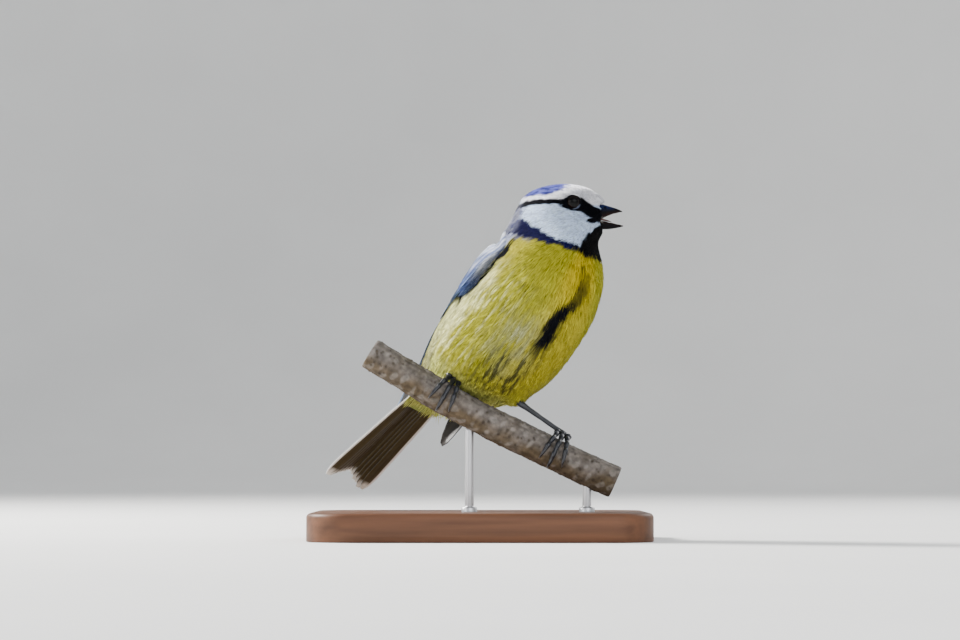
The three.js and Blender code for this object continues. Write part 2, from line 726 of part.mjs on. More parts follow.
function tailVane(sideSign, i) {
  const { rootStep, tipStep, halfWidth, fall, fork, shortest } = TAIL_HALF;
  const seed = 300 + i + (sideSign > 0 ? 20 : 0);
  const length = shortest + fork * Math.min(i, 4) + 0.3 * wobble(seed);
  const tops = [];
  const bottoms = [];
  for (const { at, width } of VANE) {
    const middle = 0.4 + i * (rootStep + (tipStep - rootStep) * at);
    const half = halfWidth * (0.62 + 0.38 * at) * width;
    const up = (k) => 0.55 - fall * i - 0.22 * at * i * 0.3 - k * 0.1 + (k === 0 ? 0.14 : 0);
    const thickness = VANE_THICKNESS * (at === 1 ? 0.7 : 1);
    const point = (k, lower) => tailPoint(length * at, sideSign * (middle + k * half), up(k) - lower);
    tops.push([-1, 0, 1].map((k) => point(k, 0)));
    bottoms.push([-1, 0, 1].map((k) => point(k, thickness)));
  }
  return slab(tops, bottoms);
}

function makeTail() {
  const root = loft(
    [-1.5, 8, 20].map((back) =>
      [
        [-3.6, -1.4], [-1.6, 0.3], [1.6, 0.3], [3.6, -1.4], [1.6, -1.9], [-1.6, -1.9],
      ].map(([x, z]) => tailPoint(back, x * (1 + back / 60), z * (1 - back / 50))),
    ),
  );
  const vanes = [-1, 1].flatMap((sign) =>
    Array.from({ length: TAIL_HALF.count }, (_, i) => tailVane(sign, i)),
  );
  return joined([root, ...vanes]);
}

// The stand
function makeBase() {
  const { length, depth, height, bevel, corner } = BASE;
  const x = length / 2 - bevel;
  const y = depth / 2 - bevel;
  const outline = new THREE.Shape();
  outline.moveTo(-x + corner, -y);
  outline.lineTo(x - corner, -y);
  outline.absarc(x - corner, -y + corner, corner, -Math.PI / 2, 0);
  outline.absarc(x - corner, y - corner, corner, 0, Math.PI / 2);
  outline.absarc(-x + corner, y - corner, corner, Math.PI / 2, Math.PI);
  outline.absarc(-x + corner, -y + corner, corner, Math.PI, 1.5 * Math.PI);
  const geometry = new THREE.ExtrudeGeometry(outline, {
    depth: height - bevel,
    bevelThickness: bevel,
    bevelSize: bevel,
    bevelSegments: 2,
    curveSegments: 6,
  });
  const solid = solidOf(geometry);
  return solid.intersect(halfSpace(vec(0, 0, 0), vec(0, 0, 1), 400));
}

function makeRod(x) {
  const geometry = new THREE.CylinderGeometry(RODS.radius, RODS.radius, 60, 20);
  geometry.rotateX(Math.PI / 2);
  geometry.translate(x, PERCH_Y, 30 + BASE.height + GAP);
  const rod = solidOf(geometry).subtract(perchSolid(GAP));
  return rod.decompose().reduce((best, one) =>
    one.boundingBox().min[2] < best.boundingBox().min[2] ? one : best,
  );
}

// Assembly
const bird = new THREE.Group();
const stand = new THREE.Group();

function add(group, name, solid, material) {
  const { numProp, vertProperties, triVerts } = solid.getMesh();
  const geometry = new THREE.BufferGeometry();
  const positions = new Float32Array((vertProperties.length / numProp) * 3);
  for (let i = 0; i < positions.length / 3; i++) {
    positions.set(vertProperties.subarray(i * numProp, i * numProp + 3), i * 3);
  }
  geometry.setAttribute("position", new THREE.BufferAttribute(positions, 3));
  geometry.setIndex(new THREE.BufferAttribute(triVerts, 1));
  const mesh = new THREE.Mesh(geometry, material);
  mesh.name = name;
  group.add(mesh);
}

add(bird, "head", makeHead(), MATERIALS.white);
add(
  bird,
  "neck",
  largest(whole.intersect(below(collar, headAxes.up, GAP)).intersect(above(shoulder, shoulderNormal, GAP))),
  MATERIALS.blue,
);
const torso = whole
  .intersect(below(shoulder, shoulderNormal))
  .intersect(below(collar, headAxes.up, GAP))
  .intersect(above(hips, torsoAxes.forward));
add(bird, "torso", largest(torso), MATERIALS.yellow);
add(bird, "rump", largest(whole.intersect(below(hips, torsoAxes.forward, GAP))), MATERIALS.yellow);
add(bird, "bill_upper", makeUpperBill(), MATERIALS.bill);
add(bird, "bill_lower", mandible(LOWER_BILL, -1), MATERIALS.bill);
add(bird, "tongue", makeTongue(), MATERIALS.mouth);

const tail = largest(makeTail().subtract(wholeGrown));
add(bird, "tail", tail, MATERIALS.blue);

for (const [side, sign] of sides) {
  add(bird, `eye_${side}`, ball(eyeCentre(sign), EYE.radius, 16), MATERIALS.eye);
  add(bird, `wing_${side}`, largest(makeWing(sign).subtract(wholeGrown).subtract(tailEnvelope(GAP))), MATERIALS.blue);
  const foot = perchAt(FEET[side]);
  const ankle = ANKLES[side];
  const knuckles = footJoint(foot, sign);
  const shank = tube(shankPoints(foot, ankle), SHANK_RADII, 10);
  add(bird, `shank_${side}`, largest(shank.subtract(wholeGrown).add(knuckles)), MATERIALS.leg);
  const knucklesGrown = footJoint(foot, sign, GAP);
  for (const toe of TOES) {
    add(bird, `toe_${toe.name}_${side}`, largest(makeToe(foot, sign, toe).subtract(knucklesGrown)), MATERIALS.leg);
    add(bird, `claw_${toe.name}_${side}`, makeClaw(foot, sign, toe), MATERIALS.claw);
  }
}

add(stand, "stand_base", makeBase(), MATERIALS.wood);
RODS.x.forEach((x, i) => add(stand, `stand_rod_${i + 1}`, makeRod(x), MATERIALS.steel));
add(stand, "stand_perch", perchSolid(), MATERIALS.bark);

const model = new THREE.Group();
model.add(bird, stand);
export default model;
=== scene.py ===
import math

import bpy
import numpy as np
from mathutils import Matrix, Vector
from mathutils.bvhtree import BVHTree


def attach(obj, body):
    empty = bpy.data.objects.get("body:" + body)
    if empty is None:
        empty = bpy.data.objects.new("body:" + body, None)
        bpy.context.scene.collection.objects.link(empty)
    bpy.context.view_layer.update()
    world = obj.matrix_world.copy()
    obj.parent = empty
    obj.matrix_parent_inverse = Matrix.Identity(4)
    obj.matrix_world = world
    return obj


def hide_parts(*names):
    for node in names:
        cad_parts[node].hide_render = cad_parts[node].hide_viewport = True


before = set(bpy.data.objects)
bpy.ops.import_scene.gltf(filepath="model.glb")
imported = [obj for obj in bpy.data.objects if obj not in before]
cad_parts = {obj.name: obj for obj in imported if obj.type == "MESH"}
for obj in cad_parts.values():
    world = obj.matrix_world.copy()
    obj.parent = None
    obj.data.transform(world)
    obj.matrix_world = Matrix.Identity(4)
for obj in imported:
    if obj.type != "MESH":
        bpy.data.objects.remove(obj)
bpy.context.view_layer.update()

MM = 0.001
TURN = 2 * math.pi
WAVES, WAVES_HEIGHT = 9, 2.1
rng = np.random.default_rng(11)
SIDES = (("right", -1), ("left", 1))

# The pose: heading is turned from -Y towards +X, pitch is nose up, roll puts the left side down
TORSO_AT = np.array([10.3, -9.0, 62.6])
HEAD_AT = np.array([22.2, -21.0, 91.8])
TORSO_POSE = (46, 42, 14)
HEAD_POSE = (86, 1, 0)
TAIL_POSE = (55, 38, 26)

# Sections of the trunk: along, rise, lean, then the reach to belly, back and side
TRUNK = [
    (-36, 1.5, 0, 4.2, 3.4, 6.0),
    (-28, 0.6, 0, 9.8, 7.0, 12.6),
    (-18, 0.0, 0, 15.8, 11.0, 16.8),
    (-8, 0.0, 2, 19.8, 13.2, 18.0),
    (2, 0.2, 8, 20.6, 13.8, 17.8),
    (11, 0.6, 16, 19.8, 14.4, 17.0),
    (18, 2.6, 28, 17.4, 14.8, 16.0),
]
# Level slices of the neck and head: height, shift, reach to the bill side and to the nape, half-width and
# narrowing towards the bill
HEAD = [
    (-10.0, -2.0, 12.6, 14.6, 13.0, 0.1),
    (-5.4, 0.0, 12.4, 15.4, 10.4, 0.22),
    (-1.4, 0.0, 11.5, 13.4, 9.2, 0.36),
    (2.2, 0.0, 11.4, 11.4, 8.5, 0.42),
]
CROWN_RISE = 5.5
CROWN_SHIFT = 1.0
RUMP_END = 1.2

EYE = {"forward": 4.0, "up": 1.8, "radius": 2.15, "proud": 0.75}
EYE_OPENING = 2.25
# Sections of the bill's two halves: forward, top, bottom, half-width
UPPER_BILL = [
    (8.4, 1.9, -2.5, 1.9), (11.8, 1.65, -2.1, 1.75), (13.6, 1.15, -1.4, 1.3),
    (15.8, 0.4, -0.8, 0.7), (17.4, -0.35, -0.6, 0.14),
]
LOWER_BILL = [
    (8.4, -3.1, -5.2, 1.75), (11.8, -3.1, -5.3, 1.6), (13.8, -3.5, -5.3, 1.15),
    (16.0, -4.0, -5.0, 0.6), (17.6, -4.4, -4.65, 0.14),
]
BILL_LENGTH = 9.0
NOSTRIL = {"forward": 12.7, "up": 0.75, "length": 0.55, "height": 0.33}

# The folded wing's ribs: along, rise, reach to the side and to the back, then its edges' angles, in degrees
WING_RIBS = [
    (14, 1.4, 16.4, 15.2, 104, 142),
    (8, 0.6, 17.2, 15.2, 104, 156),
    (-5, 0.2, 17.3, 13.8, 106, 168),
    (-18, 0.2, 16.4, 11.6, 106, 172),
]
WING_ENDS = {
    -1: [(-30, 2.4, 12.4, 8.0, 100, 166), (-41, 6.6, 9.0, 3.4, 96, 152), (-50, 8.2, 6.6, 2.0, 92, 140)],
    1: [(-30, 1.2, 12.0, 7.6, 96, 160), (-41, 1.4, 8.2, 3.4, 80, 146), (-52, -0.8, 5.0, 2.4, 56, 140)],
}
# The wing's depth from edge to edge, to which distances across it are turned
WING_DEPTH = 16

TAIL_ROOT = (-24, -2.4, 5.0)
TAIL_LENGTH = 50.5
TAIL_HALF = 6

PERCH_Y = -11
PERCH_LINE = np.array([
    (-31, 52.6), (-22.5, 47.35), (-8.5, 39.2), (5.6, 31.6), (19.7, 24.7), (33.8, 18.25), (38, 16.4),
])
PERCH_RADIUS = 4.7
GAP = 0.3
FEET = {"right": -10.2, "left": 20.6}
ANKLES = {"right": np.array([-5.2, -5.4, 48.6]), "left": np.array([11.6, -9, 38.4])}
KNEES = {"right": np.array([-2, -3.5, 53.5]), "left": np.array([7.5, -5.5, 46.5])}
THIGH = ([0, 0.3, 0.6, 0.85, 1], [7.4, 6.8, 5.8, 4.0, 1.8])
SHANK = ([0, 0.12, 0.5, 0.86, 1], [0.8, 0.68, 0.66, 0.8, 1.0])
# A toe's name, set and veer along the branch, start and end round it in degrees, claw's length and plates
TOES = [
    ("inner", 1.55, 0.2, 14, 82, 3.6, 11),
    ("middle", 0.0, 0.0, 14, 108, 3.9, 11),
    ("outer", -1.55, -0.16, 14, 88, 3.5, 11),
    ("hind", 0.2, 0.0, -26, -100, 4.6, 8),
]
TOE_RADIUS = 0.66
GRIP = PERCH_RADIUS + GAP
FOOT_RISE = GRIP + 0.75

BASE = {"length": 96, "depth": 72, "height": 8, "bevel": 1.4, "corner": 12}
RODS = {"x": (-3, 30), "radius": 1.25, "collar": 2.2}


# Vectors, curves and colours
def unit(v):
    return v / np.maximum(np.linalg.norm(v, axis=-1, keepdims=True), 1e-9)


def smooth(low, high, x):
    t = np.clip((x - low) / (high - low), 0, 1)
    return t * t * (3 - 2 * t)


def hill(x, middle, width):
    return np.exp(-(((x - middle) / width) ** 2))


def circle(count):
    return TURN * np.arange(count) / count


def ball(polar, count):
    """A unit sphere's rings of points, from polar angles in degrees, with its axis along x."""
    polar, turn = np.radians(polar)[:, None], circle(count)
    parts = np.cos(polar), np.sin(polar) * np.cos(turn), np.sin(polar) * np.sin(turn)
    return np.stack(np.broadcast_arrays(*parts), -1)


def turned(radius, height, count):
    """Rings of points round the upright axis."""
    turn = circle(count)
    parts = np.outer(radius, np.cos(turn)), np.outer(radius, np.sin(turn)), np.asarray(height, float)[:, None]
    return np.stack(np.broadcast_arrays(*parts), -1)


def srgb(*values):
    return np.array([v / 12.92 if v <= 0.04045 else ((v + 0.055) / 1.055) ** 2.4 for v in values])


def mix(tone, other, share):
    """Blends one colour towards another by a share at each point."""
    return tone + (other - tone) * np.asarray(share)[..., None]


def ripple(points, size, seed):
    """A smooth uneven field of about unit height with features of this size."""
    waves = np.random.default_rng(seed)
    total = np.zeros(points.shape[:-1])
    for _ in range(WAVES):
        direction = unit(waves.normal(size=3)) * (TURN / size) * waves.uniform(0.4, 1.0)
        total += np.sin(points @ direction + waves.uniform(0, TURN))
    return total / WAVES_HEIGHT


def between(rows, place):
    """Rows of numbers blended by a smooth curve at fractional places in the list."""
    rows = np.asarray(rows, float)
    place = np.atleast_1d(np.asarray(place, float))
    i = np.clip(np.floor(place).astype(int), 0, len(rows) - 2)
    f = (place - i)[:, None]
    a, b, c, d = (rows[np.clip(i + k, 0, len(rows) - 1)] for k in (-1, 0, 1, 2))
    slope_b, slope_c, step = (c - a) / 2, (d - b) / 2, c - b
    return b + slope_b * f + (3 * step - 2 * slope_b - slope_c) * f**2 + (slope_b + slope_c - 2 * step) * f**3


# The frames of the torso, the head and the tail
def axes_of(heading, pitch, roll):
    """The directions forward, left and up."""
    h, p, r = np.radians([heading, pitch, roll])
    forward = np.array([math.cos(p) * math.sin(h), -math.cos(p) * math.cos(h), math.sin(p)])
    level = np.array([math.cos(h), math.sin(h), 0.0])
    left = level * math.cos(r) - np.cross(forward, level) * math.sin(r)
    return np.array([forward, left, np.cross(forward, left)])


torso_axes = axes_of(*TORSO_POSE)
head_axes = axes_of(*HEAD_POSE)
tail_axes = axes_of(*TAIL_POSE)


def placed(origin, axes, forward, left, up):
    parts = np.stack(np.broadcast_arrays(forward, left, up), -1).astype(float)
    return origin + parts @ axes


def torso_point(forward, left, up):
    return placed(TORSO_AT, torso_axes, forward, left, up)


def head_point(forward, left, up):
    return placed(HEAD_AT, head_axes, forward, left, up)


def tail_point(back, left, up):
    return placed(torso_point(*TAIL_ROOT), tail_axes, -np.asarray(back, float), left, up)


def in_torso(points):
    return (points - TORSO_AT) @ torso_axes.T


def in_head(points):
    return (points - HEAD_AT) @ head_axes.T


# Meshes
class Pile:
    """Closed shells gathered into one mesh, with a colour at each point."""

    def __init__(self):
        self.points, self.quads, self.tris, self.tones, self.places = [], [], [], [], []
        self.count = 0

    def add(self, points, quads, tris, tone, place=None):
        """Adds a shell, and for a coat the place of each of its points on the flat unwrap of the skin."""
        self.points.append(points)
        self.quads.append(np.asarray(quads) + self.count)
        if tris is not None:
            self.tris.append(np.asarray(tris) + self.count)
        self.tones.append(np.broadcast_to(tone, points.shape))
        if place is not None:
            self.places.append(place)
        self.count += len(points)

    def shape(self, name, look):
        quads = np.concatenate(self.quads)
        tris = np.concatenate([np.zeros((0, 3), int), *self.tris])
        mesh = bpy.data.meshes.new(name)
        mesh.from_pydata((np.concatenate(self.points) * MM).tolist(), [], quads.tolist() + tris.tolist())
        mesh.shade_smooth()
        tones = np.concatenate(self.tones)
        colour = mesh.color_attributes.new("Tone", "FLOAT_COLOR", "POINT")
        colour.data.foreach_set("color", np.c_[tones, np.ones(len(tones))].astype(np.float32).ravel())
        if self.places:
            places = np.concatenate(self.places)[np.concatenate([quads.ravel(), tris.ravel()])]
            layer = mesh.uv_layers.new(name="OFBake")
            layer.data.foreach_set("uv", places.astype(np.float32).ravel())
        mesh.materials.append(look)
        made = bpy.data.objects.new(name, mesh)
        bpy.context.scene.collection.objects.link(made)
        return made

    def piece(self, name, look, slot, *nodes):
        """Makes the mesh a piece of the bird, in place of these nodes of the solids."""
        made = self.shape(name, look)
        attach(made, "root")
        if nodes:
            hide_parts(*nodes)


def grid_quads(index):
    return np.stack([index[:-1, :-1], index[:-1, 1:], index[1:, 1:], index[1:, :-1]], -1).reshape(-1, 4)


def loft(pile, rings, tone=(1, 1, 1), joined=False):
    """A closed shell through rings of points of shape (rings, points, 3), capped, or joined in a loop."""
    m, k = rings.shape[:2]
    index = np.arange(m * k).reshape(m, k)
    index = np.c_[index, index[:, 0]]
    points, middle = rings.reshape(-1, 3), rings.mean((0, 1))
    tones = np.broadcast_to(tone, rings.shape).reshape(-1, 3)
    tris = np.zeros((0, 3), int)
    if joined:
        index = np.concatenate([index, index[:1]])
    else:
        points = np.concatenate([points, rings[[0, -1]].mean(1)])
        tones = np.concatenate([tones, tones[[0, -1]]])
        tris = np.concatenate([
            np.stack([np.full(k, m * k), index[0, 1:], index[0, :-1]], -1),
            np.stack([np.full(k, m * k + 1), index[-1, :-1], index[-1, 1:]], -1),
        ])
    quads = grid_quads(index)
    a, b, c = (points[quads[:, corner]] for corner in (0, 1, 2))
    if np.sum(np.cross(b - a, c - a) * (a - middle)) < 0:
        quads, tris = quads[:, ::-1], tris[:, ::-1]
    pile.add(points, quads, tris, tones)


def lofted(name, look, slot, nodes, rings, tone, joined=False):
    """A piece of one shell."""
    pile = Pile()
    loft(pile, rings, tone, joined)
    pile.piece(name, look, slot, *nodes)


def slab(pile, tops, bottoms, tones, under):
    """A thin closed shell between two sheets of points of shape (along, across, 3)."""
    m, k = tops.shape[:2]
    index = np.arange(m * k).reshape(m, k)
    top = grid_quads(index)
    rim = np.concatenate([index[0], index[1:, -1], index[-1, -2::-1], index[-2:0:-1, 0]])
    after = np.roll(rim, -1)
    walls = np.stack([rim, rim + m * k, after + m * k, after], -1)
    quads = np.concatenate([top, top[:, ::-1] + m * k, walls])
    points = np.concatenate([tops.reshape(-1, 3), bottoms.reshape(-1, 3)])
    corner, one, two = (points[top[:, c]] for c in (0, 1, 3))
    outward = (tops - bottoms).reshape(-1, 3)[top[:, 0]]
    if np.sum(np.cross(one - corner, two - corner) * outward) < 0:
        quads = quads[:, ::-1]
    both = [np.broadcast_to(t, tops.shape).reshape(-1, 3) for t in (tones, under)]
    pile.add(points, quads, None, np.concatenate(both))


def tube_rings(points, radii, sides, over, squash=1.0):
    """Rings round a line of points; squash scales them along the direction over."""
    along = unit(np.gradient(points, axis=0))
    across = unit(np.cross(along, over))
    up = np.cross(across, along)
    turn = circle(sides)
    radii = np.broadcast_to(radii.reshape(len(points), -1), (len(points), sides))[..., None]
    wide = across[:, None] * np.cos(turn)[None, :, None]
    high = up[:, None] * np.sin(turn)[None, :, None] * squash
    return points[:, None] + radii * (wide + high)


# Materials
def look_of(name, roughness, grain, bump=None, specular=0.5, coat=0.0, metallic=0.0, stretch=(1, 1, 1)):
    """A surface that takes its colour from the mesh's Tone, varied by a fine grain, with a fine relief.

    The grain is a fineness and its darkest and lightest shares, bump a fineness, a strength and a depth."""
    made = bpy.data.materials.new(name)
    made.use_nodes = True
    nodes, links = made.node_tree.nodes, made.node_tree.links

    def setting(node, **values):
        for socket, value in values.items():
            node.inputs[socket.replace("_", " ")].default_value = value
        return node

    def join(*steps):
        for giver, output, taker, socket in steps:
            links.new(giver.outputs[output], taker.inputs[socket])

    fineness, darkest, lightest = grain
    shader = setting(nodes["Principled BSDF"], Roughness=roughness, Metallic=metallic)
    setting(shader, Specular_IOR_Level=specular, Coat_Weight=coat)
    tone = nodes.new("ShaderNodeAttribute")
    tone.attribute_name = "Tone"
    origin = nodes.new("ShaderNodeTexCoord")
    place = setting(nodes.new("ShaderNodeMapping"), Scale=stretch)
    noise = setting(nodes.new("ShaderNodeTexNoise"), Scale=fineness, Detail=4)
    spread = nodes.new("ShaderNodeMapRange")
    setting(spread, From_Min=0.3, From_Max=0.7, To_Min=darkest, To_Max=lightest)
    tint = nodes.new("ShaderNodeVectorMath")
    tint.operation = "SCALE"
    join(
        (origin, "Object", place, "Vector"), (place, "Vector", noise, "Vector"),
        (noise, "Fac", spread, "Value"), (tone, "Color", tint, 0),
        (spread, "Result", tint, "Scale"), (tint, "Vector", shader, "Base Color"),
    )
    if bump:
        fineness, strength, depth = bump
        relief = setting(nodes.new("ShaderNodeTexNoise"), Scale=fineness, Detail=5)
        raised = setting(nodes.new("ShaderNodeBump"), Strength=strength, Distance=depth)
        join(
            (place, "Vector", relief, "Vector"), (relief, "Fac", raised, "Height"),
            (raised, "Normal", shader, "Normal"),
        )
    return made


plumage_look = look_of("plumage", 0.8, (1500, 0.9, 1.1), (2600, 0.25, 0.0002), specular=0.07)
skin_look = look_of("under_plumage", 0.9, (1500, 0.85, 1.15), (1800, 0.4, 0.0003), specular=0.05)
vane_look = look_of("flight_feathers", 0.5, (1800, 0.92, 1.08), (3000, 0.2, 0.0002), specular=0.3)
eye_look = look_of("eye", 0.08, (1500, 0.9, 1.1), specular=0.12)
bill_look = look_of("bill_horn", 0.5, (1100, 0.75, 1.3), (1400, 0.12, 0.0002), specular=0.04)
mouth_look = look_of("mouth", 0.35, (1300, 0.85, 1.15), (1600, 0.2, 0.0002), coat=0.3)
leg_look = look_of("leg_scales", 0.32, (1400, 0.7, 1.35), (2200, 0.25, 0.0002))
claw_look = look_of("claw_horn", 0.3, (1400, 0.8, 1.2), (1800, 0.15, 0.0002))
bark_look = look_of("bark", 0.85, (700, 0.72, 1.3), (1300, 0.6, 0.0005), specular=0.2)
wood_look = look_of(
    "base_wood", 0.5, (420, 0.72, 1.25), (900, 0.15, 0.0002), specular=0.3, stretch=(0.06, 1, 1),
)
steel_look = look_of(
    "rod_steel", 0.38, (900, 0.88, 1.1), (900, 0.1, 0.0001), metallic=1.0, stretch=(1, 1, 0.05),
)


# The body's surface
def trunk_row(row):
    along, rise, lean, belly, back, side = row
    cos, sin = math.cos(math.radians(lean)), math.sin(math.radians(lean))
    normal = np.array([cos, 0, sin]) @ torso_axes
    to_belly = np.array([sin, 0, -cos]) @ torso_axes
    return [*torso_point(along, 0, rise), *normal, *to_belly, belly, back, side, 0]


def head_row(row):
    height, shift, *reaches = row
    return [*head_point(shift, 0, height), *head_axes[2], *head_axes[0], *reaches]


BODY_ROWS = [trunk_row(r) for r in TRUNK] + [head_row(r) for r in HEAD]
TOP = len(BODY_ROWS) - 1
SEAM = -torso_axes[2]


def body_points(s, phi):
    """Points of the body's surface, from the rump's end at s=-1 to the crown at s=TOP+1, phi round it."""
    row = between(BODY_ROWS, np.clip(s, 0, TOP))
    dome = np.clip(s - TOP, 0, 1) * math.pi / 2
    end = np.clip(-s, 0, 1) * math.pi / 2
    scale = np.cos(dome) * np.cos(end)
    normal = unit(row[:, 3:6])
    left = unit(np.cross(normal, row[:, 6:9]))
    belly = np.cross(left, normal)
    across = unit(np.cross(normal, SEAM))
    turn = phi - np.arctan2((across * belly).sum(1), (across * left).sum(1))
    c = np.cos(turn)
    fore, aft, side, narrow = row[:, 9:].T
    reach = np.where(c > 0, fore, aft) * scale
    width = side * scale * np.where(c > 0, 1 - narrow * c * c, 1)
    crown = CROWN_SHIFT * head_axes[0] + CROWN_RISE * head_axes[2]
    centre = row[:, :3] + np.outer(np.sin(dome), crown) - normal * (RUMP_END * np.sin(end))[:, None]
    return centre + belly * (reach * c)[:, None] + left * (width * np.sin(turn))[:, None]


FLESH_VOXEL = 0.62


def build_flesh():
    """The whole body with its thighs as one closed smooth mesh."""
    crown = TOP + np.array([10, 20, 30, 40, 50, 60, 70, 78, 85]) / 90
    s = np.concatenate([np.linspace(-0.98, -0.02, 6), np.linspace(0, TOP, 131), crown])
    grid_s, grid_phi = np.meshgrid(s, circle(96), indexing="ij")
    trunk = Pile()
    loft(trunk, body_points(grid_s.ravel(), grid_phi.ravel()).reshape(*grid_s.shape, 3))
    body = trunk.shape("flesh_body", plumage_look)
    parts = [body]
    for side, _ in SIDES:
        thigh = Pile()
        f = np.linspace(0, 1, 17)
        line = KNEES[side] + f[:, None] * (ANKLES[side] - KNEES[side])
        loft(thigh, tube_rings(line, np.interp(f, *THIGH), 32, np.array([0, 0, 1.0])))
        parts.append(thigh.shape("flesh_thigh_" + side, plumage_look))
        join = body.modifiers.new("join", "BOOLEAN")
        join.operation = "UNION"
        join.solver = "EXACT"
        join.object = parts[-1]
    remesh = body.modifiers.new("even", "REMESH")
    remesh.mode = "VOXEL"
    remesh.voxel_size = FLESH_VOXEL * MM
    relax = body.modifiers.new("relax", "SMOOTH")
    relax.factor = 0.5
    relax.iterations = 4
    bpy.context.view_layer.update()
    made = bpy.data.meshes.new_from_object(body.evaluated_get(bpy.context.evaluated_depsgraph_get()))
    for old in parts:
        bpy.data.objects.remove(old)
    return made


def numbers(items, key, width, kind=np.float32):
    found = np.zeros(len(items) * width, kind)
    items.foreach_get(key, found)
    return found.reshape(-1, width)


flesh = build_flesh()
flesh_points = numbers(flesh.vertices, "co", 3).astype(float) / MM
flesh_normals = numbers(flesh.vertices, "normal", 3).astype(float)
flesh.calc_loop_triangles()
flesh_tris = numbers(flesh.loop_triangles, "vertices", 3, np.int32)
flesh_tree = BVHTree.FromPolygons(flesh_points.tolist(), flesh_tris.tolist())


def on_flesh(points):
    """The nearest places of the body's surface, with its smooth normals there."""
    found = [flesh_tree.find_nearest(p) for p in points.tolist()]
    place = np.array([f[0] for f in found])
    corners = flesh_tris[np.array([f[2] for f in found])]
    weight = 1 / (np.linalg.norm(flesh_points[corners] - place[:, None], axis=2) + 0.05)
    return place, unit((flesh_normals[corners] * weight[..., None]).sum(1))


def head_half_width(forward, up):
    heights = np.array([r[0] for r in HEAD])
    _, shift, fore, _, side, narrow = between(HEAD, np.interp(up, heights, np.arange(len(HEAD))))[0]
    over = max(0.0, (up - heights[-1]) / CROWN_RISE)
    scale = math.sqrt(max(0.0, 1 - over * over))
    c = (forward - shift - CROWN_SHIFT * over) / (fore * scale)
    return side * scale * math.sqrt(max(0.0, 1 - c * c)) * (1 - narrow * c * c)


# The plumage's colours. In what follows hf, hl and hu are the distances forward, left and up in the head's
# frame, and tf, tl and tu those in the torso's
PAINT = {
    "yellow": srgb(0.70, 0.67, 0.21),
    "golden": srgb(0.74, 0.66, 0.04),
    "olive": srgb(0.59, 0.59, 0.14),
    "pale": srgb(0.90, 0.90, 0.66),
    "ash": srgb(0.66, 0.67, 0.50),
    "dusk": srgb(0.13, 0.13, 0.10),
    # Near black, for the belly's streak and for the painted shadow line under the wing
    "streak_and_shadow": srgb(0.04, 0.045, 0.07),
    "collar": srgb(0.05, 0.05, 0.23),
    "bib": srgb(0.025, 0.025, 0.035),
    # Partly the coverts' own blue-grey and partly a painted sheen of rim light
    "shoulder": srgb(0.66, 0.69, 0.80),
    # The white cheek painted a little darker and bluer: white in painted cool shade
    "cheek": srgb(0.78, 0.85, 0.97),
    "white": srgb(0.95, 0.95, 0.98),
    "cap": srgb(0.38, 0.40, 0.70),
    "cap_dark": srgb(0.12, 0.14, 0.42),
    "stripe": srgb(0.02, 0.025, 0.055),
    "nape": srgb(0.49, 0.50, 0.57),
    "mantle": srgb(0.40, 0.46, 0.27),
    "rump": srgb(0.55, 0.60, 0.24),
    "vent": srgb(0.80, 0.81, 0.44),
}
# Edges of the markings in the head's frame, as pairs of lists: the heights of the collar's upper and lower
# edges by distance forward, how far forward the bib's rear edge lies by height, and the eye stripe's height
COLLAR_TOP = (
    [-13, -11.1, -7.6, -4.8, -1.9, 0.8, 3.7, 6.0],
    [-1.0, -2.1, -4.4, -6.0, -8.0, -9.4, -10.2, -11.0],
)
COLLAR_LOW = (
    [-15, -11, -7.6, -4.8, -1.9, 0.8, 3.6, 6.3, 8.9, 10.2],
    [-6.0, -7.2, -8.9, -9.5, -10.1, -11.0, -12.3, -13.2, -14.3, -14.7],
)
BIB_EDGE = ([-11.0, -9.3, -6.8, -5.6, -4.4, -3.4], [5.9, 6.8, 8.5, 9.5, 11.2, 12.5])
STRIPE = ([-11, -7, -1.3, 1, 4], [1.5, 2.1, 2.0, 1.85, 1.6])
# In the torso's frame, by distance along: the belly streak's middle, and the half-width in radians of the
# painted shadow line below the folded wing
BELLY_STREAK = ([-17, 0, 9, 15, 18, 21.3, 25], [-4.4, -3.2, -3.9, -3.6, -2.4, 0.2, 1.2])
WING_SHADOW_LINE = ([2, 8, 16, 24], [0.075, 0.075, 0.05, 0.028])
WING_SHADOW_AT = 1.77


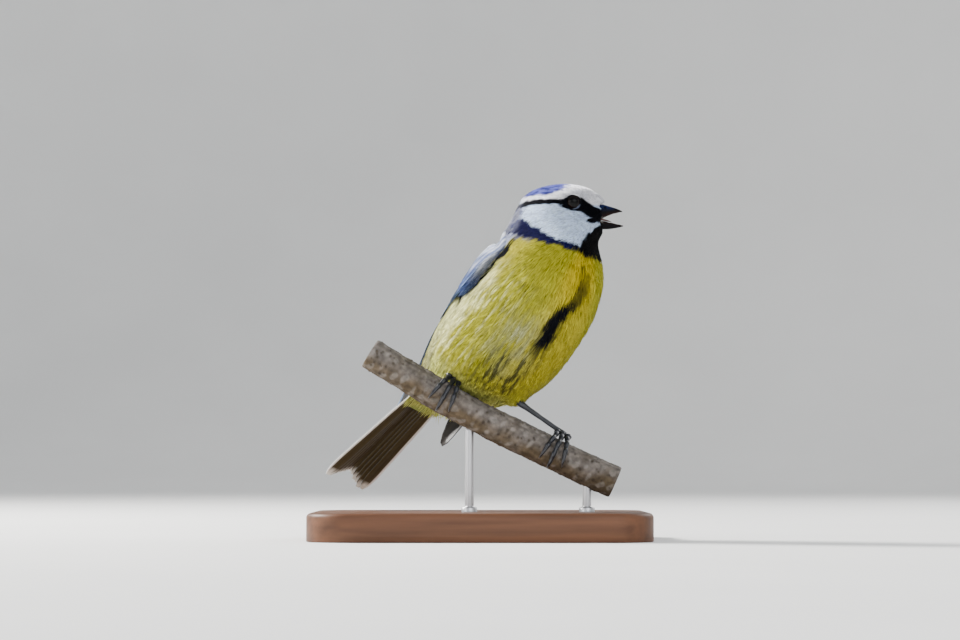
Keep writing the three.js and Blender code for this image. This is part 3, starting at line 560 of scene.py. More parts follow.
def plumage(points):
    """The colour of the plumage at these points, in linear light."""
    head, torso = in_head(points), in_torso(points)
    hf, hl, hu = head.T
    tf, tl, tu = torso.T
    rough = ripple(points, 1.6, 3) * 0.22
    blotch = ripple(points, 5.0, 4)
    fine = ripple(torso * [0.16, 1, 1], 1.0, 8)
    streaky = ripple(head * [0.2, 1, 1], 0.9, 9)
    mottled = ripple(head * [1, 1, 0.35], 1.2, 13)
    around = np.arctan2(np.abs(tl), -tu)
    colour = np.tile(PAINT["yellow"], (len(points), 1))

    def lay(name, share):
        nonlocal colour
        colour = mix(colour, PAINT[name], np.clip(share, 0, 1))

    # Breast and flanks, where around is the angle from the middle of the belly
    lay("golden", 0.9 * hill(tf, 27, 8) * hill(tl, -2, 9) * (tu < 2))
    lay("golden", 0.2 * smooth(0.75, 0.3, around) * smooth(-16, 0, tf) * (tl > -3))
    lay("olive", 0.75 * smooth(0.3, 0.6, around) * smooth(1.6, 1.3, around) * smooth(-24, -10, tf))
    # The pale band along the flank is partly the flank's paler colour and partly painted rim light
    lay("pale", 0.9 * smooth(1.32, 1.62, around + 0.06 * blotch + 0.05 * fine) * smooth(20, 8, tf))
    lay("pale", 0.32 * smooth(0.2, 1.5, fine) * smooth(0.6, 1.1, around) * smooth(24, 10, tf))
    lay("olive", 0.5 * smooth(0.2, 1.4, -fine) * smooth(0.5, 0.9, around) * smooth(-24, -10, tf))
    ash = hill(tf, 2, 9) * hill(around, 0.55, 0.33) * (0.75 + 0.3 * blotch + 0.25 * fine)
    lay("ash", 0.85 * ash * (tl < 0))
    lay("vent", smooth(-14, -24, tf))

    # Below the wing a painted shadow line, then the shoulder with its partly painted sheen, the mantle and
    # the rump
    folded = smooth(27, 25, tf) * smooth(-22, -12, tf)
    # Just under the folded wing's lower edge a dark line is painted: painted shadow of the wing
    edge = np.interp(tf, *WING_SHADOW_LINE)
    painted_wing_shadow = smooth(edge, edge * 0.6, np.abs(around - WING_SHADOW_AT + 0.02 * fine))
    lay("streak_and_shadow", painted_wing_shadow * folded * smooth(0, 4, tf))
    lay("shoulder", smooth(1.82, 1.88, around) * folded)
    lay("mantle", smooth(2.15, 2.4, around + 0.05 * blotch) * folded)
    lay("rump", smooth(1.8, 2.1, around) * smooth(-7, -15, tf))

    # The belly's dark streak, and the mottling behind it
    off = np.abs(tl - np.interp(tf, *BELLY_STREAK) + 0.6 * rough)
    line = smooth(3.1, 1.3, off + 0.3 * fine) * smooth(29.5, 25, tf) * smooth(-1, 6, tf + 1.5 * fine)
    lay("streak_and_shadow", line * (tu < -4) * (0.78 + 0.22 * smooth(22, 18, tf)))
    mottle = smooth(8.5, 3.5, np.abs(tl + 6.3 + 1.2 * rough)) * smooth(4, -2, tf) * smooth(-22, -13, tf)
    lay("dusk", mottle * (tu < -4) * (0.12 + 0.7 * smooth(-0.5, 1.1, fine)))

    # The collar, the bib and the cheek
    low, high, ragged = np.interp(hf, *COLLAR_LOW), np.interp(hf, *COLLAR_TOP), hu + rough
    above_low = smooth(low - 0.35, low + 0.35, ragged)
    lay("nape", smooth(low - 1.5, low + 0.5, ragged) * (hf < -8))
    lay("collar", above_low)
    lay("bib", above_low * smooth(2, 6, hf))
    bib = np.interp(hu, *BIB_EDGE)
    cheek = smooth(high - 0.3, high + 0.3, ragged) * smooth(bib + 0.35, bib - 0.35, hf + rough)
    # The cheek is laid in white with painted cool shade
    lay("cheek", cheek * smooth(-12.4, -11.4, hf + 0.5 * rough))

    # The nape behind them, with a pale spot
    rearward = -hf / np.maximum(np.hypot(hf, hl), 1)
    behind = smooth(0.84, 0.94, rearward + 0.01 * blotch) * smooth(low, low + 1.5, hu) * smooth(2.2, 1.6, hu)
    lay("nape", behind)
    lay("cap_dark", behind * 0.65 * smooth(0.0, 1.1, mottled))
    lay("white", behind * hill(hl, 0, 2.2) * hill(hu, -2.8, 2.4) * 0.8)

    # The brow, the forehead and the cap
    brow = smooth(1.6, 2.2, hu) * (1 - 0.16 * smooth(0.2, 1.2, streaky))
    lay("white", brow * (1 - 0.5 * smooth(-9, -11, hf)))
    lay("white", smooth(7.2, 8.4, hf) * smooth(0.8, 1.6, hu))
    edge = 4.0 + 1.9 * smooth(-3, 3, hf)
    front = smooth(4.6, 1.8, hf + rough + 0.3 * streaky + 0.2 * np.abs(hl) ** 1.2)
    cap = smooth(edge - 0.35, edge + 0.35, ragged) * front
    lay("cap", cap)
    lay("cap_dark", cap * smooth(0.0, 0.9, streaky) * 0.8)

    # The stripe through the eye, the ring round it, the lores and the corner of the mouth
    stripe = smooth(0.95, 0.55, np.abs(hu - np.interp(hf, *STRIPE)) + 0.5 * rough)
    stripe = stripe * (1 - 0.35 * smooth(-9.5, -11.5, hf)) * smooth(4, 3, hf)
    round_eye = ((hf - 4.2) / 3.7) ** 2 + ((hu - 1.35 + 0.12 * (hf - 4.2)) / 2.05) ** 2
    lores_top, lores_low, half_ragged = 7.03 - 0.62 * hf, 2.82 - 0.62 * hf, hu + 0.5 * rough
    lores = smooth(lores_top + 0.3, lores_top - 0.3, half_ragged) * smooth(5.2, 6.0, hf)
    lores = lores * smooth(lores_low - 0.3, lores_low + 0.3, half_ragged)
    gape = ((hf - 9.0) / 1.4) ** 2 + ((hu + 3.3) / 0.75) ** 2
    marks = [stripe, smooth(1.15, 0.85, round_eye + 0.5 * rough), lores, smooth(1.2, 0.8, gape)]
    lay("stripe", np.maximum.reduce(marks))
    return colour


# How the coat lies: its depth over the skin and its feathers' length
COAT_DEPTH = {"body": 1.8, "head": 0.6}
FEATHER_LENGTH = {"body": 6.6, "head": 2.6}


def coat_depth(points):
    hf, _, hu = in_head(points).T
    head = smooth(-15, -8, hu)
    depth = COAT_DEPTH["body"] + (COAT_DEPTH["head"] - COAT_DEPTH["body"]) * head
    return depth * (1 - 0.35 * smooth(5, 10, hf) * head)


def feather_length(points):
    hf, _, hu = in_head(points).T
    tf, tl, tu = in_torso(points).T
    around = np.arctan2(np.abs(tl), -tu)
    trunk = FEATHER_LENGTH["body"] - smooth(1.7, 2.1, around) + 1.5 * smooth(-22, -30, tf)
    head = FEATHER_LENGTH["head"] - 1.2 * smooth(3, 10, hf) + 0.8 * smooth(0, -6, hu)
    return trunk + (head - trunk) * smooth(-16, -8, hu)


def lie_direction(points, normals, legs):
    """The way the feathers point: back on the head, down the trunk and thighs, out over the tail's root."""
    hu, tf = in_head(points)[:, 2], in_torso(points)[:, 0]
    rear = smooth(-24, -32, tf)[:, None]
    on_head = -head_axes[0] - (0.6 * smooth(1, -4, hu))[:, None] * head_axes[2]
    on_trunk = -torso_axes[0] * (1 - rear) - tail_axes[0] * rear + 0.12 * np.array([0, 0, -1.0])
    way = mix(on_trunk, on_head, smooth(-15, -8, hu))
    for side, _ in SIDES:
        down = unit(ANKLES[side] - KNEES[side]) * 1.2
        way = mix(way, down, (legs == side) * 0.8)
    return unit(way - normals * (way * normals).sum(1, keepdims=True))


def leg_of(points):
    """Which thigh a point lies on, if any."""
    found = np.full(len(points), "none", dtype="<U5")
    for side, _ in SIDES:
        axis = ANKLES[side] - KNEES[side]
        f = np.clip(((points - KNEES[side]) @ axis) / (axis @ axis), 0, 1.2)
        away = np.linalg.norm(points - KNEES[side] - f[:, None] * axis, axis=1)
        found[(f > 0.25) & (away < np.interp(f, *THIGH) + 0.6)] = side
    return found


# The wings' sheet, as the solids have it
def wing_points(sign, along, across, lift=0.0):
    """Places on the folded wing: along the body, across from the lower edge to the upper, and off it."""
    rows = np.array(WING_RIBS + WING_ENDS[sign], float)
    along, across, lift = np.broadcast_arrays(np.asarray(along, float), across, lift)
    shape = along.shape
    along, across, lift = along.ravel(), across.ravel(), lift.ravel()
    _, rise, side, back, low, high = between(rows, np.interp(-along, -rows[:, 0], np.arange(len(rows)))).T
    turn = np.radians(low + (high - low) * across)
    reach = np.where(turn > math.pi / 2, back, back + 2)
    made = torso_point(along, sign * (side + lift) * np.sin(turn), rise - (reach + lift) * np.cos(turn))
    return made.reshape(*shape, 3)


def hidden_by_wings(points, normals):
    trees = []
    for _, sign in SIDES:
        along, across = np.meshgrid(np.linspace(13.5, -49, 40), np.linspace(0.06, 0.84, 16), indexing="ij")
        sheet = wing_points(sign, along, across, 0.2).reshape(-1, 3)
        quads = grid_quads(np.arange(len(sheet)).reshape(along.shape))
        trees.append(BVHTree.FromPolygons(sheet.tolist(), quads.tolist()))
    return np.array([
        any(tree.ray_cast(p, n, 4.0)[0] is not None for tree in trees)
        for p, n in zip(points.tolist(), normals.tolist())
    ])


def build_skin():
    """The flesh, drawn in by the coat's depth."""
    skin = Pile()
    inner = flesh_points - flesh_normals * coat_depth(flesh_points)[:, None]
    faces = numbers(flesh.loops, "vertex_index", 1, np.int32).reshape(-1, 4)
    skin.add(inner, faces, None, plumage(flesh_points) * 0.55)
    skin.piece("skin", skin_look, "plumage", "head", "neck", "torso", "rump")


# The coat: each feather is a fan of thin closed blades that lie along the body and overlap the next ones
HEAD_STEPS = np.array([0.0, 0.45, 1.0])
BODY_STEPS = np.array([0.0, 0.34, 0.7, 1.0])
HEAD_BLADES, BODY_BLADES, WING_BLADES, TAIL_BLADES = 8, 14, 9, 11
# A blade's width as a share of the feather's length, and its depth as a share of its width
HEAD_BLADE, BODY_BLADE, WING_BLADE = 0.08, 0.052, 0.075
BLADE_DEPTH = 0.45
TAIL_BLADE = 0.5
COAT_PLACES = 110000
COAT_SPACING = 0.215
HEAD_COAT_FROM = -9
THIGH_FEATHERS = 0.55
# The bill's root, which stays bare: forward, half-width, top and bottom
BILL_ROOT = (10.0, 1.9, 1.8, -5.3)
PATCH_RADIUS = 0.0015
# Along the trunk: where the chest gives way to the belly, and the belly to the vent
CHEST_END, BELLY_END = 8, -14


def scatter(points, spacing):
    """Picks places in turn, none nearer to another than its spacing."""
    size = float(spacing.max())
    cells, kept = {}, []
    keys = np.floor(points / size).astype(int).tolist()
    near = [(a, b, c) for a in (-1, 0, 1) for b in (-1, 0, 1) for c in (-1, 0, 1)]
    listed, limits = points.tolist(), (spacing**2).tolist()
    for i, (a, b, c) in enumerate(keys):
        others = (j for da, db, dc in near for j in cells.get((a + da, b + db, c + dc), ()))
        x, y, z = listed[i]
        if all(
            (listed[j][0] - x) ** 2 + (listed[j][1] - y) ** 2 + (listed[j][2] - z) ** 2 >= limits[i]
            for j in others
        ):
            cells.setdefault((a, b, c), []).append(i)
            kept.append(i)
    return np.array(kept)


def coat_roots():
    """Roots all over the flesh, closest where the feathers are short, clear of eyes, bill and wings."""
    a, b, c = (flesh_points[flesh_tris[:, k]] for k in range(3))
    area = np.linalg.norm(np.cross(b - a, c - a), axis=1) / 2
    chance = area / feather_length((a + b + c) / 3) ** 2
    pick = rng.choice(len(area), COAT_PLACES, p=chance / chance.sum())
    u, v = rng.random((2, COAT_PLACES))
    flip = u + v > 1
    u, v = np.where(flip, 1 - u, u), np.where(flip, 1 - v, v)
    points = a[pick] + (b - a)[pick] * u[:, None] + (c - a)[pick] * v[:, None]
    normals = unit(flesh_normals[flesh_tris[pick]].mean(1))
    length = feather_length(points)
    kept = scatter(points, length * COAT_SPACING)
    points, normals, length = points[kept], normals[kept], length[kept]
    hf, hl, hu = in_head(points).T
    in_eye = np.hypot((hf - EYE["forward"]) / 1.05, hu - EYE["up"]) < 2.0
    front, half_width, top, bottom = BILL_ROOT
    in_bill = (hf > front) & (np.abs(hl) < half_width) & (hu < top) & (hu > bottom)
    free = ~(in_eye | in_bill | hidden_by_wings(points, normals))
    return points[free], normals[free], length[free]


def push_from_eyes(points):
    """Moves points out of the eyes' openings."""
    hf, hl, hu = in_head(points).T
    df, du = hf - EYE["forward"], hu - EYE["up"]
    away = np.hypot(df, du)
    near = (away < EYE_OPENING) & (np.abs(hl) > 3)
    grow = np.where(near, EYE_OPENING / np.maximum(away, 0.3), 1)
    return head_point(EYE["forward"] + df * grow, hl, EYE["up"] + du * grow)


def over_bill(points):
    """Moves the feathers of the forehead and lores forward over the bill's base."""
    hf, _, hu = in_head(points).T
    reach = 1.25 + 0.2 * ripple(points, 0.9, 12)
    ahead = reach * smooth(7.5, 10.5, hf) * smooth(-3.6, -1.5, hu) * smooth(5.5, 3.0, hu)
    return points + ahead[:, None] * head_axes[0]


def unwrapped(points, on_head):
    """A place for each point on a flat unwrap of the skin: round it and along it."""
    hf, hl, hu = in_head(points).T
    tf, tl, tu = in_torso(points).T
    turn = np.arctan2(hl, hf) if on_head else np.arctan2(tl, -tu)
    height = np.interp(hu, [-18, 9], [0, 1]) if on_head else np.interp(tf, [-45, 37], [0, 1])
    return 0.02 + 0.96 * np.c_[turn / TURN + 0.5, height]


def fan(count, blades, steps):
    """How far along, aside and up each blade of each feather reaches, as shares of its length and depth."""
    q = np.linspace(-1, 1, blades)[None, :] + rng.normal(0, 0.07, (count, blades))
    tip = (1 - 0.26 * q**2) * (1 + rng.normal(0, 0.07, (count, blades)))
    start = 0.04 + 0.1 * rng.random((count, blades))
    reach = start[..., None] + (tip - start)[..., None] * steps
    waver = rng.normal(0, 0.012, (count, blades, len(steps)))
    out = 0.37 * q[..., None] * (0.25 + 0.75 * np.sqrt(steps)) + waver
    profile = np.interp(steps, [0, 0.35, 0.7, 1], [-1.0, -0.5, -0.16, -0.06])
    lift = rng.normal(0, 0.05, (count, blades))[..., None] * steps
    return reach, out, profile + lift - 0.14 * q[..., None] ** 2


def varied(count, blades):
    """A brightness for each blade: one part shared by its feather, one its own."""
    shared = np.repeat(rng.normal(0, 1, count), blades)
    return (1 + 0.08 * shared + 0.13 * rng.normal(0, 1, count * blades))[:, None]


def blade_piece(name, centre, upward, width, tone, places):
    """One mesh of thin closed three-sided blades, given the middle line and the upward side of each."""
    count, rings = centre.shape[:2]
    steps = BODY_STEPS if rings == len(BODY_STEPS) else HEAD_STEPS
    sideways = unit(np.cross(upward, unit(np.gradient(centre, axis=1))))
    width = (width[:, None] * np.interp(steps, [0, 0.35, 0.7, 1], [0.7, 1.0, 0.75, 0.0]))[:, :-1, None]
    half = sideways[:, :-1] * width / 2
    below = upward[:, :-1] * width * BLADE_DEPTH
    corners = np.stack([centre[:, :-1] - half, centre[:, :-1] + half, centre[:, :-1] - below], 2)
    points = np.concatenate([corners.reshape(count, -1, 3), centre[:, -1:]], 1)
    per, last = (rings - 1) * 3 + 1, (rings - 2) * 3
    sides_of = np.array([
        (a + k, a + 3 + k, a + 3 + (k + 1) % 3, a + (k + 1) % 3) for a in range(0, last, 3) for k in range(3)
    ])
    ends = np.array([(0, 1, 2)] + [(last + k, per - 1, last + (k + 1) % 3) for k in range(3)])
    offset = (np.arange(count) * per)[:, None, None]
    # Each blade darkens towards its root, partly the feather's grey downy base and partly painted shade under
    # the feathers that overlap it, and is a little lighter at its tip
    shade = np.append(np.repeat(np.interp(steps[:-1], [0, 0.35, 0.7], [0.45, 0.75, 1.0]), 3), 1.12)
    tones = np.clip(tone[:, None] * shade[None, :, None], 0.001, 0.98)
    patch = PATCH_RADIUS * np.c_[np.cos(circle(per)), np.sin(circle(per))]
    pile = Pile()
    pile.add(
        points.reshape(-1, 3), (sides_of + offset).reshape(-1, 4), (ends + offset).reshape(-1, 3),
        tones.reshape(-1, 3), (places[:, None] + patch).reshape(-1, 2),
    )
    pile.piece(name, plumage_look, "plumage")


def coat_piece(name, roots, normals, lie, length, on_head):
    """The feathers of one region, bent to the flesh."""
    blades, steps = (HEAD_BLADES, HEAD_STEPS) if on_head else (BODY_BLADES, BODY_STEPS)
    n, m = len(roots), len(steps)
    reach, out, height = fan(n, blades, steps)
    across, size = np.cross(normals, lie), length[:, None, None]
    path = roots[:, None, None] + lie[:, None, None] * (reach * size)[..., None]
    flat = (path + across[:, None, None] * (out * size)[..., None]).reshape(-1, 3)
    surface, upward = on_flesh(flat)
    surface = mix(surface, flat, smooth(-30, -36, in_torso(flat)[:, 0]))
    depth = np.repeat(coat_depth(roots), blades * m)
    centre = surface + upward * (height.ravel() * depth)[:, None]
    if on_head:
        centre = push_from_eyes(over_bill(centre))
    centre, upward = centre.reshape(-1, m, 3), upward.reshape(-1, m, 3)
    seen = (centre[:, -2] + centre[:, -1]) / 2
    width = (HEAD_BLADE if on_head else BODY_BLADE) * np.repeat(length, blades)
    width = width * rng.uniform(0.75, 1.2, n * blades)
    blade_piece(name, centre, upward, width, plumage(seen) * varied(n, blades), unwrapped(seen, on_head))


def build_coat():
    points, normals, length = coat_roots()
    legs = leg_of(points)
    lie = lie_direction(points, normals, legs)
    head, torso = in_head(points), in_torso(points)
    on_head = head[:, 2] > HEAD_COAT_FROM
    length = length * np.where(legs != "none", THIGH_FEATHERS, 1) * rng.uniform(0.88, 1.12, len(points))
    thigh = ~on_head & (legs != "none")
    trunk = ~on_head & ~thigh
    along, left = torso[:, 0], torso[:, 1] > -3
    regions = {"coat_head_right": on_head & (head[:, 1] <= 0), "coat_head_left": on_head & (head[:, 1] > 0)}
    for part, inside in (("chest", along > CHEST_END), ("belly", (along <= CHEST_END) & (along > BELLY_END))):
        regions[f"coat_{part}_right"] = trunk & inside & ~left
        regions[f"coat_{part}_left"] = trunk & inside & left
    regions["coat_vent"] = trunk & (along <= BELLY_END)
    regions["coat_thighs"] = thigh
    swirl = ripple(points, 14, 21) * 0.10 + rng.normal(0, 0.07, len(points))
    lie = unit(lie + np.cross(normals, lie) * swirl[:, None])
    for name, chosen in regions.items():
        coat_piece(name, points[chosen], normals[chosen], lie[chosen], length[chosen], "head" in name)


# The small feathers that lie over the wings
def wing_coat(name, sign, count, along, across, gap, lengths, lift_of, tone_of):
    """Feathers in a patch of the wing, at least a gap apart; their places give their lift and tone."""
    along, across = rng.uniform(*along, count), rng.uniform(*across, count)
    kept = scatter(np.c_[along, across * WING_DEPTH, np.zeros(count)], np.full(count, gap))
    along, across = along[kept, None, None], across[kept, None, None]
    n, m = len(kept), len(BODY_STEPS)
    length = rng.uniform(*lengths, n)
    reach, out, height = fan(n, WING_BLADES, BODY_STEPS)
    along = along - reach * length[:, None, None]
    across = across + out * length[:, None, None] / WING_DEPTH
    lift = lift_of(along, across)
    sheet = wing_points(sign, along, across, lift).reshape(-1, 3)
    surface, upward = on_flesh(sheet)
    sheet = mix(sheet, surface + upward * (0.15 + lift.ravel())[:, None], smooth(9, 14, along).ravel())
    centre = (sheet + upward * height.ravel()[:, None] * 1.1).reshape(-1, m, 3)
    width = WING_BLADE * np.repeat(length, WING_BLADES) * rng.uniform(0.75, 1.2, n * WING_BLADES)
    along, across = along[..., -1].ravel(), across[..., -1].ravel()
    spots = np.c_[along, across * WING_DEPTH, np.zeros(len(along))]
    tone = tone_of(spots) * varied(n, WING_BLADES)
    places = 0.05 + 0.9 * np.c_[(along + 25) / 50, (across + 0.5) / 2.2]
    blade_piece(name, centre, upward.reshape(-1, m, 3), width, tone, places)


def build_wing_coats(side, sign):
    blue, sheen_white, dark = srgb(0.36, 0.43, 0.64), srgb(0.87, 0.89, 0.93), srgb(0.04, 0.045, 0.06)

    def shoulder_lift(along, across):
        rise = np.interp(along, [0, 8, 12, 15, 22], [2.35, 2.5, 2.1, 1.1, 0.1])
        return rise * smooth(-0.16, 0.08, across) * smooth(1.25, 0.95, across)

    def shoulder_tone(spots):
        along, across = spots[:, 0], spots[:, 1] / WING_DEPTH
        # Towards the front the coverts' blue is mixed with near white: a painted sheen of rim light
        pale = np.clip(0.62 + 0.35 * ripple(spots * [0.4, 1, 1], 2.4, 71), 0, 1) * smooth(2, 9, along)
        tone = mix(mix(blue, sheen_white, pale), PAINT["mantle"], smooth(0.75, 1.0, across))
        # Darker along the lower edge: the painted shadow line under the wing's edge
        return mix(tone, dark, 0.6 * smooth(0.01, -0.03, across))

    def flank_lift(along, across):
        level = np.interp(along, [-24, -8, -2, 8], [1.0, 1.4, 1.7, 1.4]) + 0.4 * smooth(0.1, 0.3, across)
        return level * smooth(-0.3, 0.1, across)

    def flank_tone(spots):
        # Mostly the flank's pale, which is partly its own colour and partly painted rim light
        return mix(PAINT["pale"], PAINT["yellow"], 0.3 * smooth(0, 1.2, ripple(spots * [0.2, 1, 1], 1.3, 73)))

    def scapular_lift(along, across):
        return 2.3 * smooth(1.25, 0.92, across) * smooth(16, 11, along)

    def scapular_tone(spots):
        return PAINT["mantle"] * (1.0 + 0.1 * ripple(spots, 3, 72))[:, None]

    # Each coat: how many places are tried, their range along and across, the gap and the range of lengths
    coats = {
        "shoulder": (3200, (2.5, 22), (-0.03, 1.1), 0.9, (3.2, 4.2), shoulder_lift, shoulder_tone),
        "flank": (1700, (-24, -2), (-0.16, 0.17), 1.1, (5.0, 6.2), flank_lift, flank_tone),
        "scapulars": (1800, (-10, 15), (0.9, 1.22), 1.2, (5.0, 6.5), scapular_lift, scapular_tone),
    }
    for name, settings in coats.items():
        wing_coat(f"coat_{name}_{side}", sign, *settings)


def build_tail_coverts():
    """The soft feathers below and above the tail's root."""
    count, length, gap, half_width = 420, 7.5, 1.1, 5.0
    for name, up_sign, far, sag, tone in (
        ("coat_undertail", -1, 13, 0.9, PAINT["vent"] * 0.75), ("coat_uppertail", 1, 9, 0.35, PAINT["rump"]),
    ):
        back, aside = rng.uniform(-6, far, count), rng.uniform(-1, 1, count)
        kept = scatter(np.c_[back, aside * half_width, np.zeros(count)], np.full(count, gap))
        back, aside = back[kept], aside[kept] * np.interp(back[kept], [-6, 20], [half_width, 4.2])
        n, m = len(back), len(BODY_STEPS)
        reach, out, height = fan(n, TAIL_BLADES, BODY_STEPS)
        level = 1.3 + np.interp(back, [-6, 20], [2.4, 0.2])[:, None, None] - 0.5 * reach
        back, aside = back[:, None, None] + reach * length, aside[:, None, None] + out * length
        middle = tail_point(back, aside, up_sign * (level + height) - sag * np.abs(aside) / 3)
        upward = np.broadcast_to(tail_axes[2] * up_sign, middle.shape)
        shades = tone * varied(n, TAIL_BLADES)
        places = 0.1 + 0.8 * np.c_[(back[..., -1].ravel() + 6) / 40, (aside[..., -1].ravel() + 8) / 16]
        width = TAIL_BLADE * rng.uniform(0.75, 1.2, n * TAIL_BLADES)
        blade_piece(name, middle.reshape(-1, m, 3), upward.reshape(-1, m, 3), width, shades, places)


# Eyes and lids
def build_eye(side, sign):
    axis = unit(head_axes[1] * sign + 0.18 * head_axes[0])
    across = unit(np.cross(axis, head_axes[2]))
    out = head_half_width(EYE["forward"], EYE["up"]) + EYE["proud"] - EYE["radius"]
    centre = head_point(EYE["forward"], sign * out, EYE["up"])
    polar = np.concatenate([[2], np.arange(6, 178, 5), [178]])
    from_axis = np.radians(polar)
    radius = EYE["radius"] * (1 + 0.03 * smooth(0.85, 0.35, from_axis))
    eye_axes = np.array([axis, across, np.cross(across, axis)])
    rings = centre + radius[:, None, None] * (ball(polar, 40) @ eye_axes)
    pupil, iris, rim = srgb(0.008, 0.008, 0.01), srgb(0.075, 0.04, 0.025), srgb(0.012, 0.01, 0.012)
    tone = mix(pupil, iris, smooth(0.62, 0.68, from_axis) * smooth(0.98, 0.86, from_axis))
    tone = tone + (rim - pupil) * smooth(0.85, 0.95, from_axis)[:, None]
    lofted("eyeball_" + side, eye_look, "eye", ["eye_" + side], rings, tone[:, None])

    # The lids are a scalloped ring round the eye, paler below and in front, where a highlight is painted
    turn = circle(56)
    rim_radius = EYE["radius"] * 0.90
    rim_out = sign * (math.sqrt(EYE["radius"] ** 2 - rim_radius**2) - 0.02)
    ellipse = [rim_radius * 1.04 * np.cos(turn), np.full(56, rim_out), rim_radius * 0.95 * np.sin(turn)]
    line = centre + np.stack(ellipse, -1) @ head_axes
    thick = 0.27 + 0.03 * np.cos(14 * turn) + 0.05 * smooth(-0.4, -1, np.sin(turn))
    outward = unit(line - line.mean(0))
    above = np.cross(unit(np.roll(line, -1, 0) - np.roll(line, 1, 0)), outward)
    part = circle(12)[None, :, None]
    section = outward[:, None] * np.cos(part) + above[:, None] * np.sin(part)
    lit = smooth(0.72, 0.97, np.cos(turn + math.radians(58)))
    tone = mix(srgb(0.03, 0.035, 0.05), srgb(0.26, 0.29, 0.35), lit)
    rings = line[:, None] + thick[:, None, None] * section
    lofted("lids_" + side, skin_look, "plumage", [], rings, tone[:, None], joined=True)


# The bill: half of the section's outline, from the ridge round to the mouth's side
BILL_SECTION = np.array([
    (0, 1), (0.36, 0.88), (0.66, 0.56), (0.93, 0.15), (1, -0.3), (0.95, -0.75), (0.86, -1), (0.6, -0.9),
    (0.3, -0.8), (0, -0.76),
])


def mandible(name, sections, ridge, node):
    """One half of the bill; ridge is 1 for the upper half and -1 for the lower."""
    forward, top, bottom, side = between(sections, np.linspace(0, len(sections) - 1, 41)).T
    shape = np.concatenate([BILL_SECTION, BILL_SECTION[-2:0:-1] * [-1, 1]])
    upper = shape[:, 1]
    x = np.outer(side, shape[:, 0])
    z = ((top + bottom) / 2)[:, None] + ridge * np.outer((top - bottom) / 2, upper)
    z = z + 0.03 * np.outer(np.sin(forward * 3.1), upper < -0.9)
    t = ((forward - sections[0][0]) / BILL_LENGTH)[:, None]
    # black and brown are the horn's colours; steel is a painted blue reflection of the sky
    black, steel, brown = srgb(0.045, 0.04, 0.05), srgb(0.10, 0.15, 0.31), srgb(0.12, 0.07, 0.065)
    tone = np.tile(black, (*x.shape, 1))
    if ridge > 0:
        ahead = hill(forward, NOSTRIL["forward"], NOSTRIL["length"])[:, None]
        nostril = ahead * hill(z, NOSTRIL["up"], NOSTRIL["height"])
        x = x * (1 - 0.30 * nostril)
        # The upper side towards the base is painted steel blue: a painted reflection of the sky
        tone = mix(tone, steel, smooth(-0.1, 0.8, upper) * smooth(0.9, 0.5, t) * 0.8)
        tone = mix(tone, srgb(0.02, 0.02, 0.02), smooth(0.35, 0.8, nostril))
    tone = mix(tone, brown, (smooth(-0.2, -0.8, upper) * 0.7 + smooth(0.7, 1.0, t) * 0.3).clip(0, 1))
    inner = (upper < -0.75) & (np.abs(shape[:, 0]) < 0.7)
    tone = mix(tone, srgb(0.16, 0.07, 0.065), inner * smooth(0.95, 0.6, t) * 0.8)
    lofted(name, bill_look, "bill", [node], head_point(forward[:, None], x, z), tone)


def build_mouth():
    f = np.linspace(0, 1, 25)
    line = head_point(10.4 + 4.0 * f, 0, -2.5 - 0.85 * f * f)
    radii = np.interp(f, [0, 0.35, 0.75, 1], [0.75, 0.71, 0.52, 0.12])
    tone = mix(srgb(0.36, 0.18, 0.16), srgb(0.16, 0.09, 0.09), smooth(0.5, 1, f))
    rings = tube_rings(line, radii, 20, head_axes[2], 0.4)
    lofted("tongue_tip", mouth_look, "mouth", ["tongue"], rings, tone[:, None])

    # The fold of skin at each corner of the mouth, and the lining behind it
    lining = Pile()
    g = np.linspace(0, 1, 13)
    away = np.abs(2 * g - 1)
    for _, sign in SIDES:
        fold = head_point(10.2 + 1.9 * away**1.5, sign * (1.5 - 0.1 * away), -1.9 - 1.7 * g)
        loft(lining, tube_rings(fold, np.full(13, 0.2), 12, head_axes[1]), srgb(0.20, 0.17, 0.14))
    lump = ball(np.linspace(4, 176, 15), 20) * [1.2, 1.5, 1.0]
    loft(lining, head_point(10.1, 0, -2.75) + lump @ head_axes, srgb(0.22, 0.09, 0.07))
    lining.piece("mouth_lining", mouth_look, "mouth")


# The wings and the tail, whose vanes run across from the outer edge at -1 to the inner edge at 1
BLUE, DEEP, SLATE = srgb(0.25, 0.38, 0.62), srgb(0.13, 0.22, 0.46), srgb(0.13, 0.15, 0.20)
EDGE, WHITE, UNDER = srgb(0.50, 0.60, 0.73), srgb(0.93, 0.94, 0.94), srgb(0.12, 0.10, 0.08)
WEB = np.linspace(-1, 1, 9)
SHAFT = hill(WEB, 0, 0.16)
